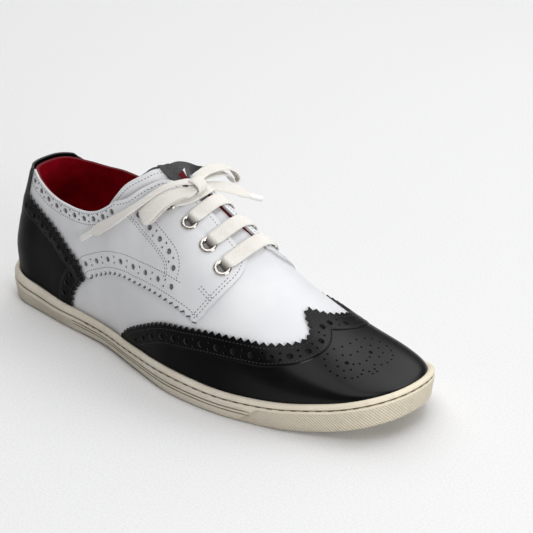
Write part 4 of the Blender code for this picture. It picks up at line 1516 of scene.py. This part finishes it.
def make_felt_cap(felt, white, red):
    """The felt's own top, standing past the leather on the inner side, with a plain label sewn on."""
    points = felt_grid(FELT_COLUMNS, FELT_ROWS, 0.0)
    faces = grid_faces(len(FELT_ROWS), len(FELT_COLUMNS))
    cap = add_piece("shoe_tongue_felt", points.reshape(-1, 3), faces, [felt])
    thicken(cap, FELT_WALL, outward=False)
    points = felt_grid(LABEL_COLUMNS, LABEL_ROWS, LABEL_LIFT)
    count = len(LABEL_COLUMNS)
    faces = grid_faces(len(LABEL_ROWS), count)
    border = faces[:, 0] % count > count * LABEL_RED
    label = add_piece("shoe_tongue_label", points.reshape(-1, 3), faces, [red, white], slots=border)
    thicken(label, LABEL_WALL, outward=False)


def tongue_half(x_shift):
    """Half outlines of the tongue's felt and of its leather, which is cut out at the top, and the
    leather's top edge."""
    side = spread(edge_run(TONGUE_SIDE))
    to_ridge = np.clip((TONGUE_TOP["girth"] - FELT_PROUD_FROM) / FELT_PROUD_OVER, 0, 1)
    proud = FELT_PROUD * to_ridge - FELT_BEHIND
    felt = np.concatenate([spread(edge_run(TONGUE_TOP, x_shift - proud))[::-1], side[1:]])
    top = spread(edge_run(TONGUE_TOP, x_shift))
    top = top[top[:, 1] < TONGUE_NOTCH["girth"][0] - NOTCH_GAP]
    notch = spread(edge_run(TONGUE_NOTCH, x_shift))
    cross = spread([notch[-1], (turn_of(COVER_END_X + x_shift), 1.0)])
    return felt, np.concatenate([side[:0:-1], top, notch, cross]), top


def make_tongue(white, felt, red):
    """A felt tongue under a leather cover; its inner side is set a little lower."""
    felt_edge, near, top = tongue_half(0.0)
    inner_felt, inner_near, inner_top = tongue_half(TONGUE_INNER_SHIFT)

    def felt_height(at):
        x = station_x(at[:, 0], UPPER_INSET)
        front = np.clip((x - TONGUE_RISE_FROM) / TONGUE_RISE_OVER, 0, 1)
        return -TONGUE_SINK - TONGUE_WALL + TONGUE_RISE * front * front * (3 - 2 * front)

    def cover_height(at):
        return felt_height(at) + TONGUE_WALL + COVER_GAP

    def seam_height(at):
        return felt_height(at) + TONGUE_WALL + COVER_WALL - LEATHER

    outline = joined(felt_edge, mirrored(inner_felt)[::-1])
    base = cut_panel("shoe_tongue", outline, [], felt_height, TONGUE_WALL, [felt], TONGUE_FINE)
    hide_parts("tongue")
    outline = joined(near, mirrored(inner_near)[::-1])
    cover = cut_panel("shoe_tongue_cover", outline, [], cover_height, COVER_WALL, [white], TONGUE_FINE)
    make_felt_cap(felt, white, red)
    seams = [step_off(edge[TOP_SEAM_SKIP:], -TOP_SEAM_INSET) for edge in (top, inner_top)]
    return [seams[0], mirrored(seams[1])], seam_height


def ring(inset, count, height):
    """A closed outline of the plan: lateral side from heel to toe, then the medial side back."""
    x = station_x(np.linspace(0, math.pi, count), inset)
    lateral = np.stack([x, edge_y(x, LATERAL, inset), height(x)], -1)
    medial = np.stack([x, edge_y(x, MEDIAL, inset), height(x)], -1)
    return np.concatenate([lateral, medial[-2:0:-1]])


def ring_bridge(first, second, count):
    """Quads between two rings of count points, given their first indices, facing out when rising."""
    i = np.arange(count)
    j = (i + 1) % count
    return np.stack([first + i, first + j, second + j, second + i], -1)


def ladder(first, side_count, upward):
    """Faces across a ring, from its lateral to its medial side."""
    count = 2 * side_count - 2
    faces = []
    for i in range(side_count - 1):
        face = [first + i, first + i + 1, first + (count - i - 1) % count, first + (count - i) % count]
        face = list(dict.fromkeys(face))
        faces.append(face if upward else face[::-1])
    return faces


def rim(x):
    """Top of the rubber's rim."""
    return smooth(SIDE, "rim", x) + smooth(RIM_LIFT, "lift", x)


def make_sole(rubber, groove_shade, rib_shade):
    """The moulded sole, ring by ring from the tread up its side and down into the cup."""
    side_count = SOLE_STATIONS
    count = 2 * side_count - 2

    def height(share, add):
        def at(x):
            tread = np.maximum(smooth(SIDE, "tread", x), 0)
            lift = add if share or add else TREAD_STEP * between(x, WAIST_FROM, WAIST_TO)
            lift = lift * smooth(BEAD, "scale", x) if share == 1 else lift
            return tread + share * (rim(x) - tread) + lift

        return at

    rings = []
    for inset, share, add, rib, _ in zip(*SOLE_WALL.values()):
        points = ring(inset, side_count, height(share, add))
        depth = rib * between(points[:, 0], RIB_FROM, RIB_TO)
        points[:, 1] -= depth * np.sign(points[:, 1] - smooth(PLAN, "axis", points[:, 0]))
        rings.append(points)
    rings.append(ring(RIM_INNER, side_count, lambda x: smooth(SIDE, "floor", x)))
    faces = ladder(0, side_count, upward=False)
    slots = [0] * len(faces)
    ribbed = between(rings[0][:, 0], RIB_FROM, RIB_TO) > 0.5
    for k in range(len(rings) - 1):
        faces += ring_bridge(k * count, (k + 1) * count, count).tolist()
        # Rows marked in the table give the faces above them painted shade: all round in the stitch groove
        # and where the upper meets the rim, and in the ribs' recesses only where the waist is ribbed
        all_round = SOLE_WALL["share"][k] == 1
        slots += (SOLE_WALL["shade"][k] * (ribbed | all_round)).astype(int).tolist()
    faces += ladder((len(rings) - 1) * count, side_count, upward=True)
    slots += [0] * (len(faces) - len(slots))
    along = running_length(rings[np.argmin(SOLE_WALL["inset"])])
    along = np.where(np.arange(count) < side_count, along, 2 * along[side_count - 1] - along)
    points = np.concatenate(rings)
    drop = (rim(points[:, 0]) - points[:, 2]) / smooth(BEAD, "scale", points[:, 0])
    uv = np.stack([np.tile(along, len(rings)), drop], -1)
    sole = add_piece("shoe_sole", points, faces, [rubber, groove_shade, rib_shade], SOLE_SMOOTH_ANGLE, uv, slots)
    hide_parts("sole")


def make_sole_stitches(brown):
    """Long stitches in the groove under the rim's bead, from the waist round the toe."""

    def depth(x):
        return rim(x) - STITCH_GROOVE_DROP * smooth(BEAD, "scale", x)

    groove = ring(STITCH_GROOVE_INSET, GROOVE_STATIONS, depth)
    groove = np.concatenate([groove, groove[:1]])
    at = running_length(groove)
    read = np.linspace(0, at[-1], round(at[-1] / SOLE_STITCH_PITCH), endpoint=False)
    read = read[np.interp(read, at, groove[:, 0]) > SOLE_STITCH_FROM]
    centres = np.stack([np.interp(read, at, groove[:, k]) for k in range(3)], -1)
    ahead = np.stack([np.interp(read + 1, at, groove[:, k]) for k in range(3)], -1)
    ways = unit(ahead - centres)
    outward = unit(np.cross(ways, (0, 0, 1)))
    thread("shoe_sole_stitches", centres, ways, outward, brown, SOLE_STITCH_SIZE)


def make_insole(lining):
    """The insole board under its red cover."""
    count = INSOLE_STATIONS
    low = ring(INSOLE_INSET, count, lambda x: smooth(SIDE, "floor", x) + INSOLE_RISE)
    high = low + (0, 0, INSOLE_THICK)
    around = 2 * count - 2
    faces = ladder(0, count, upward=False) + ring_bridge(0, around, around).tolist()
    faces += ladder(around, count, upward=True)
    insole = add_piece("shoe_insole", np.concatenate([low, high]), faces, [lining])
    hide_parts("insole")


def eyelet_pairs():
    """Place along the foot, girth on both sides (the medial one over 1) and bow of each pair."""
    for x, lateral, medial, bow in zip(*EYELETS.values()):
        yield x, lateral, 2 - medial, bow


def make_eyelets(metal):
    """Rolled metal rings with a barrel through the facing."""
    rings = []
    for x, lateral, medial, _ in eyelet_pairs():
        for girth in (lateral, medial):
            bpy.ops.object.select_all(action="DESELECT")
            bpy.ops.mesh.primitive_torus_add(
                major_segments=EYELET_SEGMENTS, minor_segments=BEAD_SEGMENTS,
                major_radius=EYELET_RADIUS * MM, minor_radius=EYELET_BEAD * MM,
            )
            eyelet = bpy.context.object
            bpy.ops.object.mode_set(mode="EDIT")
            bpy.ops.mesh.select_all(action="SELECT")
            bpy.ops.transform.resize(value=(1, 1, EYELET_FLAT))
            bpy.ops.mesh.primitive_cylinder_add(
                vertices=EYELET_SEGMENTS, radius=BARREL_RADIUS * MM, depth=BARREL_LENGTH * MM,
                end_fill_type="NOTHING", location=(0, 0, -BARREL_DROP * MM),
            )
            bpy.ops.object.mode_set(mode="OBJECT")
            eyelet.matrix_world = stand_on(turn_of(x), girth, OVER_TOP + EYELET_LIFT)
            rings.append(eyelet)
    bpy.ops.object.select_all(action="DESELECT")
    for eyelet in rings:
        eyelet.select_set(True)
    bpy.context.view_layer.objects.active = rings[0]
    bpy.ops.object.transform_apply()
    bpy.ops.object.join()
    eyelets = bpy.context.object
    eyelets.name = "shoe_eyelets"
    eyelets.data.materials.append(metal)
    bpy.ops.object.shade_smooth_by_angle(angle=math.radians(EYELET_SMOOTH_ANGLE))
    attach(eyelets, "root")
    numbers = range(1, len(EYELETS["x"]) + 1)
    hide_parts(*[f"eyelet_{side}_{k}" for side in SIDE_NAME.values() for k in numbers])


# The lace


def evenly(columns, step):
    """Rows read at even steps along their first three columns, on a smooth curve."""
    at = running_length(columns[:, :3])
    read = np.linspace(0, at[-1], max(4, round(at[-1] / step) + 1))
    rows = {"x": at, **{str(k): columns[:, k] for k in range(columns.shape[1])}}
    return np.stack([smooth(rows, str(k), read) for k in range(columns.shape[1])], -1)


def lace(name, path, across, width, thick, material, from_eyelets=False):
    """A flat band of lace along a path in millimetres. Its own run is its UV map: across it, and
    along it from its nearer end in an eyelet, or else past the length near the eyelets over which it
    darkens."""
    forward = unit(np.gradient(path, axis=0))
    across = unit(across - (across * forward).sum(-1, keepdims=True) * forward)
    normal = np.cross(forward, across)
    turn = np.linspace(0, 2 * math.pi, LACE_SIDES, endpoint=False)
    wide = np.sign(np.cos(turn)) * np.abs(np.cos(turn)) ** LACE_WIDE_POWER
    high = np.sign(np.sin(turn)) * np.abs(np.sin(turn)) ** LACE_HIGH_POWER
    width = np.broadcast_to(np.asarray(width, float), len(path))[:, None, None]
    thick = np.broadcast_to(np.asarray(thick, float), len(path))[:, None, None]
    points = path[:, None] + across[:, None] * wide[None, :, None] * width / 2
    points = points + normal[:, None] * high[None, :, None] * thick / 2
    at = running_length(path)
    at = np.minimum(at, at[-1] - at) if from_eyelets else at + PAST_EYELET_DARKENING
    uv = np.stack([wide[None] * width[..., 0] / 2, np.repeat(at[:, None], LACE_SIDES, axis=1)], -1)
    faces = []
    for i in range(len(path) - 1):
        faces += ring_bridge(i * LACE_SIDES, (i + 1) * LACE_SIDES, LACE_SIDES).tolist()
    last = (len(path) - 1) * LACE_SIDES
    faces += [list(range(LACE_SIDES))[::-1], list(range(last, last + LACE_SIDES))]
    uv = uv.reshape(-1, 2)
    band = add_piece(name, points.reshape(-1, 3), faces, [material], LACE_SMOOTH_ANGLE, uv)
    return band


def make_bars(cotton):
    """Bars of lace: out of one eyelet, flat over the facings, and into the eyelet opposite."""
    half_share, half_lift, half_wide = LACE_BAR.values()
    share = np.r_[half_share, 1 - half_share[-2::-1]]
    lift = np.r_[half_lift, half_lift[-2::-1]]
    wide = np.r_[half_wide, half_wide[-2::-1]]
    for number, (x, lateral, medial, bow) in enumerate(eyelet_pairs(), 1):
        girth = lateral + share * (medial - lateral)
        turn = turn_of(x + bow * np.sin(math.pi * share))
        middle = surface(turn, girth, lift)
        along, _ = tangents(turn, girth)
        rows = evenly(np.concatenate([middle, unit(along), wide[:, None]], 1), BAR_STEP)
        path, across, width = rows[:, :3], rows[:, 3:6], rows[:, 6]
        bar = lace(f"shoe_lace_bar_{number}", path, across, width, LACE_THICK, cotton, from_eyelets=True)
        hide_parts(f"lace_bar_{number}")


def make_under_strands(cotton):
    """What shows of the lace between the bars: it slants over the tongue, from edge to edge."""
    pairs = list(eyelet_pairs())
    for number, (upper, lower) in enumerate(zip(pairs, pairs[1:]), 1):
        share = np.linspace(0, 1, UNDER_POINTS)
        turn = turn_of(upper[0] + UNDER_SHIFT + share * (lower[0] - upper[0]))
        girth = UNDER_GIRTH + share * UNDER_REACH
        middle = surface(turn, girth, np.full(len(share), UNDER_HEIGHT), relief=False)
        along, up = tangents(turn, girth)
        forward = unit(np.gradient(middle, axis=0))
        across = np.cross(unit(np.cross(along, up)), forward)
        lace(f"shoe_lace_under_{number}", middle, across, UNDER_WIDTH, LACE_THICK, cotton)


def route(rows, faces):
    """A route's points, and the ways across its band and out of its face."""
    path = evenly(np.stack([rows[axis] for axis in "xyz"], -1), ROUTE_STEP)
    share = np.linspace(0, 1, len(path))[:, None]
    facing = (1 - share) * np.array(faces[0]) + share * np.array(faces[1])
    forward = unit(np.gradient(path, axis=0))
    across = unit(np.cross(facing, forward))
    return path, across, np.cross(forward, across)


def bow_half(name, knot, loop, end, opening, flare, end_widths, cotton, tip):
    """Half of the bow as one strand: out along a loop, round its fold and back, then out as an end."""
    middle, across, normal = route(*loop)
    share = np.linspace(0, 1, len(middle))[:, None]
    swell = np.sin(math.pi * np.clip(share * LOOP_SWELL + LOOP_START, 0, 0.5))
    apart = opening * (LOOP_NECK + (1 - LOOP_NECK) * swell)
    forward = unit(middle[-1] - middle[-2])
    folds = np.linspace(0, math.pi, FOLD_POINTS)[1:-1, None]
    bulge = np.cos(folds) * normal[-1] + FOLD_REACH * np.sin(folds) * forward
    tail, tail_across, _ = route(*end)
    turn_back = knot + KNOT_TURN_BACK * (knot - middle[0])
    fold_across = np.repeat(across[-1:], len(folds), 0)
    unfolded, at_knot, on_tail = np.zeros_like(share), np.zeros((1, 1)), np.zeros((len(tail), 1))
    # Each stretch by its points, the ways across the band, and the shares of the loop and of the fold
    stretches = (
        (knot[None], across[:1], at_knot, at_knot),
        (middle + apart * normal, across, share, unfolded),
        (middle[-1] + apart[-1] * bulge, fold_across, np.ones_like(folds), np.sin(folds)),
        ((middle - apart * normal)[::-1], across[::-1], share[::-1], unfolded),
        (turn_back[None], tail_across[:1], at_knot, at_knot),
        (tail, tail_across, on_tail, on_tail),
    )
    rows = evenly(np.concatenate([np.concatenate(stretch, 1) for stretch in stretches]), STRAND_STEP)
    path, across, on_loop, on_fold = rows[:, :3], rows[:, 3:6], rows[:, 6], rows[:, 7]
    at = running_length(path)
    to_tip = at[-1] - at
    on_end = np.clip((running_length(tail)[-1] + END_LEAD - to_tip) / END_BLEND, 0, 1)
    from_knot = np.clip(np.linalg.norm(path - knot, axis=1) / SQUEEZE_REACH, 0, 1)
    from_fold = np.abs(at - at[np.argmax(on_fold)]) / FOLD_NARROW_REACH
    width = LACE_WIDTH * (SQUEEZED + (1 - SQUEEZED) * from_knot) * (1 + flare * on_loop**2)
    width = width * (1 - FOLD_NARROW * np.exp(-(from_fold**2)))
    width = width * (1 - on_end) + np.interp(to_tip, *end_widths) * on_end
    thick = LACE_THICK * np.clip(END_THICK - to_tip / END_THICK_REACH, END_LEAST, END_MOST)
    strand = lace(name, path, across, width, thick, cotton)
    sleeve = to_tip < end_widths[0][1]
    sizes = width[sleeve] + TIP_CLEAR, thick[sleeve] + TIP_CLEAR
    cover = lace(f"{name}_tip", path[sleeve], across[sleeve], *sizes, tip)
    path = world(path)
    length = float(running_length(path)[-1])
    return strand


def make_bow(cotton, tip):
    """The bow's two halves, and the wrap of the knot round them."""
    place = stand_on(turn_of(KNOT_X), KNOT_GIRTH, KNOT_LIFT)
    knot = np.array(place.translation) / MM + (LENGTH / 2, MIDDLE_Y, 0)
    loop, end = (NEAR_LOOP, NEAR_LOOP_FACES), (NEAR_END, NEAR_END_FACES)
    near = bow_half("shoe_lace_near", knot, loop, end, NEAR_OPENING, NEAR_FLARE, NEAR_WIDTHS, cotton, tip)
    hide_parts("lace_loop_lateral", "lace_end_lateral")
    loop, end = (FAR_LOOP, FAR_LOOP_FACES), (FAR_END, FAR_END_FACES)
    far = bow_half("shoe_lace_far", knot, loop, end, FAR_OPENING, FAR_FLARE, FAR_WIDTHS, cotton, tip)
    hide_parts("lace_loop_medial", "lace_end_medial")
    strand = unit(np.array(KNOT_WAY))
    up = np.array(place.to_3x3().col[2])
    up = unit(up - (up @ strand) * strand)
    side = np.cross(strand, up)
    turn = np.linspace(WRAP_FROM, WRAP_TO, WRAP_POINTS)[:, None]
    circle = knot + WRAP_ACROSS * np.cos(turn) * side + WRAP_UP * np.sin(turn) * up
    path = circle + np.linspace(-WRAP_LEAN, WRAP_LEAN, WRAP_POINTS)[:, None] * strand
    across = np.repeat(strand[None], WRAP_POINTS, 0)
    wrap = lace("shoe_lace_knot", path, across, WRAP_WIDTH, WRAP_THICK, cotton)
    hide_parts("lace_knot")


# Stage


def make_stage():
    """A pale floor, soft lights and the photo's camera."""
    bpy.ops.object.select_all(action="DESELECT")
    bpy.ops.mesh.primitive_plane_add(size=FLOOR_SIZE, location=(0, 0, 0))
    floor = bpy.context.object
    floor.name = "floor"
    floor.data.materials.append(plain("floor_paper", (0.86, 0.86, 0.865), 0.9))
    for name, place, aim, size, watts in LIGHTS:
        light = bpy.data.lights.new(name, "AREA")
        light.size, light.energy = size, watts
        lamp = bpy.data.objects.new(name, light)
        lamp.location = place
        lamp.rotation_euler = (Vector(aim) - Vector(place)).to_track_quat("-Z", "Y").to_euler()
        bpy.context.scene.collection.objects.link(lamp)
    sky = bpy.data.worlds.new("studio")
    sky.use_nodes = True
    background = sky.node_tree.nodes["Background"]
    background.inputs["Color"].default_value = (1, 1, 1, 1)
    background.inputs["Strength"].default_value = SKY_STRENGTH
    bpy.context.scene.world = sky
    bpy.context.scene.view_settings.view_transform = "Standard"
    eye = bpy.data.cameras.new("photo")
    eye.lens, eye.sensor_width = CAMERA_LENS, CAMERA_SENSOR
    camera = bpy.data.objects.new("photo", eye)
    camera.location = CAMERA_PLACE
    camera.rotation_euler = Euler([math.radians(turn) for turn in CAMERA_TURN])
    bpy.context.scene.collection.objects.link(camera)
    bpy.context.scene.camera = camera


def make_shoe():
    """All pieces of the shoe, with their finishes."""
    white, black, lining = white_leather(), black_leather(), red_lining()
    rubber, cotton, felt, metal = cream_rubber(), cotton_lace(), grey_felt(), nickel()
    # Painted shade for the floors of the punched holes: grey under the white panels, dark under the black
    grey = plain("grey_hole_shade", (0.30, 0.30, 0.302), 0.9)
    dark = plain("dark_hole_shade", (0.008, 0.008, 0.008), 0.9)
    # Cut edge of the white panels, a little darker than the leather: partly its own grey, partly painted
    # shade on the teeth's edges and the holes' walls
    white_cut_and_shade = plain("white_cut_edge_and_shade", (0.64, 0.64, 0.645), 0.8)
    lining_edge = plain("lining_edge", (0.13, 0.002, 0.008), 0.95)
    # Cut edge of the black panels, lighter than the leather: partly its own grey, partly painted
    # highlight on the holes' walls
    black_cut_and_highlight = plain("black_cut_edge_and_highlight", (0.035, 0.034, 0.034), 0.7)
    # Dark grey strip under the quarters' pinked edges: painted shadow
    shadow_strip = plain("quarter_shadow_strip", (0.13, 0.13, 0.132), 0.9)
    # Painted shade: dark brown for the stitch groove and where the upper meets the rim, lighter for the
    # ribs' recesses
    groove_shade = plain("groove_painted_shade", (0.20, 0.165, 0.12), 0.9)
    rib_shade = plain("rib_shade", (0.40, 0.345, 0.265), 0.9)
    grey_thread = plain("grey_thread", (0.10, 0.10, 0.105), 0.8)
    black_thread = plain("black_thread", (0.014, 0.014, 0.0145), 0.6)
    brown_thread = plain("brown_thread", (0.12, 0.088, 0.056), 0.85)
    tip = plain("clear_tip", (0.92, 0.915, 0.90), 0.2)
    wing_edge, wing = wing_outline()
    counter_runs, counter = counter_outline()
    quarters = {side: quarter_outline(side) for side in SIDE_NAME}
    white_covers = [quarters[LATERAL][1], mirrored(quarters[MEDIAL][1])]
    make_upper(white_covers, [wing, counter], white, grey, dark, lining, lining_edge)
    seams, height = make_wing_cap(wing_edge, wing, black, black_cut_and_highlight)
    make_stitches("shoe_wing_stitches", seams, height, black_thread)
    seams, height = make_counter(counter_runs, counter, black, black_cut_and_highlight)
    make_stitches("shoe_counter_stitches", seams, height, black_thread)
    for side, name in SIDE_NAME.items():
        rows = make_quarter(side, *quarters[side], white, white_cut_and_shade, shadow_strip)
        make_stitches(f"shoe_quarter_stitches_{name}", rows, OVER_TOP, grey_thread)
    rows, level = make_tongue(white, felt, lining_edge)
    make_stitches("shoe_tongue_stitches", rows, level, grey_thread)
    make_sole(rubber, groove_shade, rib_shade)
    make_sole_stitches(brown_thread)
    make_insole(lining)
    make_eyelets(metal)
    make_bars(cotton)
    make_under_strands(cotton)
    make_bow(cotton, tip)


make_shoe()
make_stage()
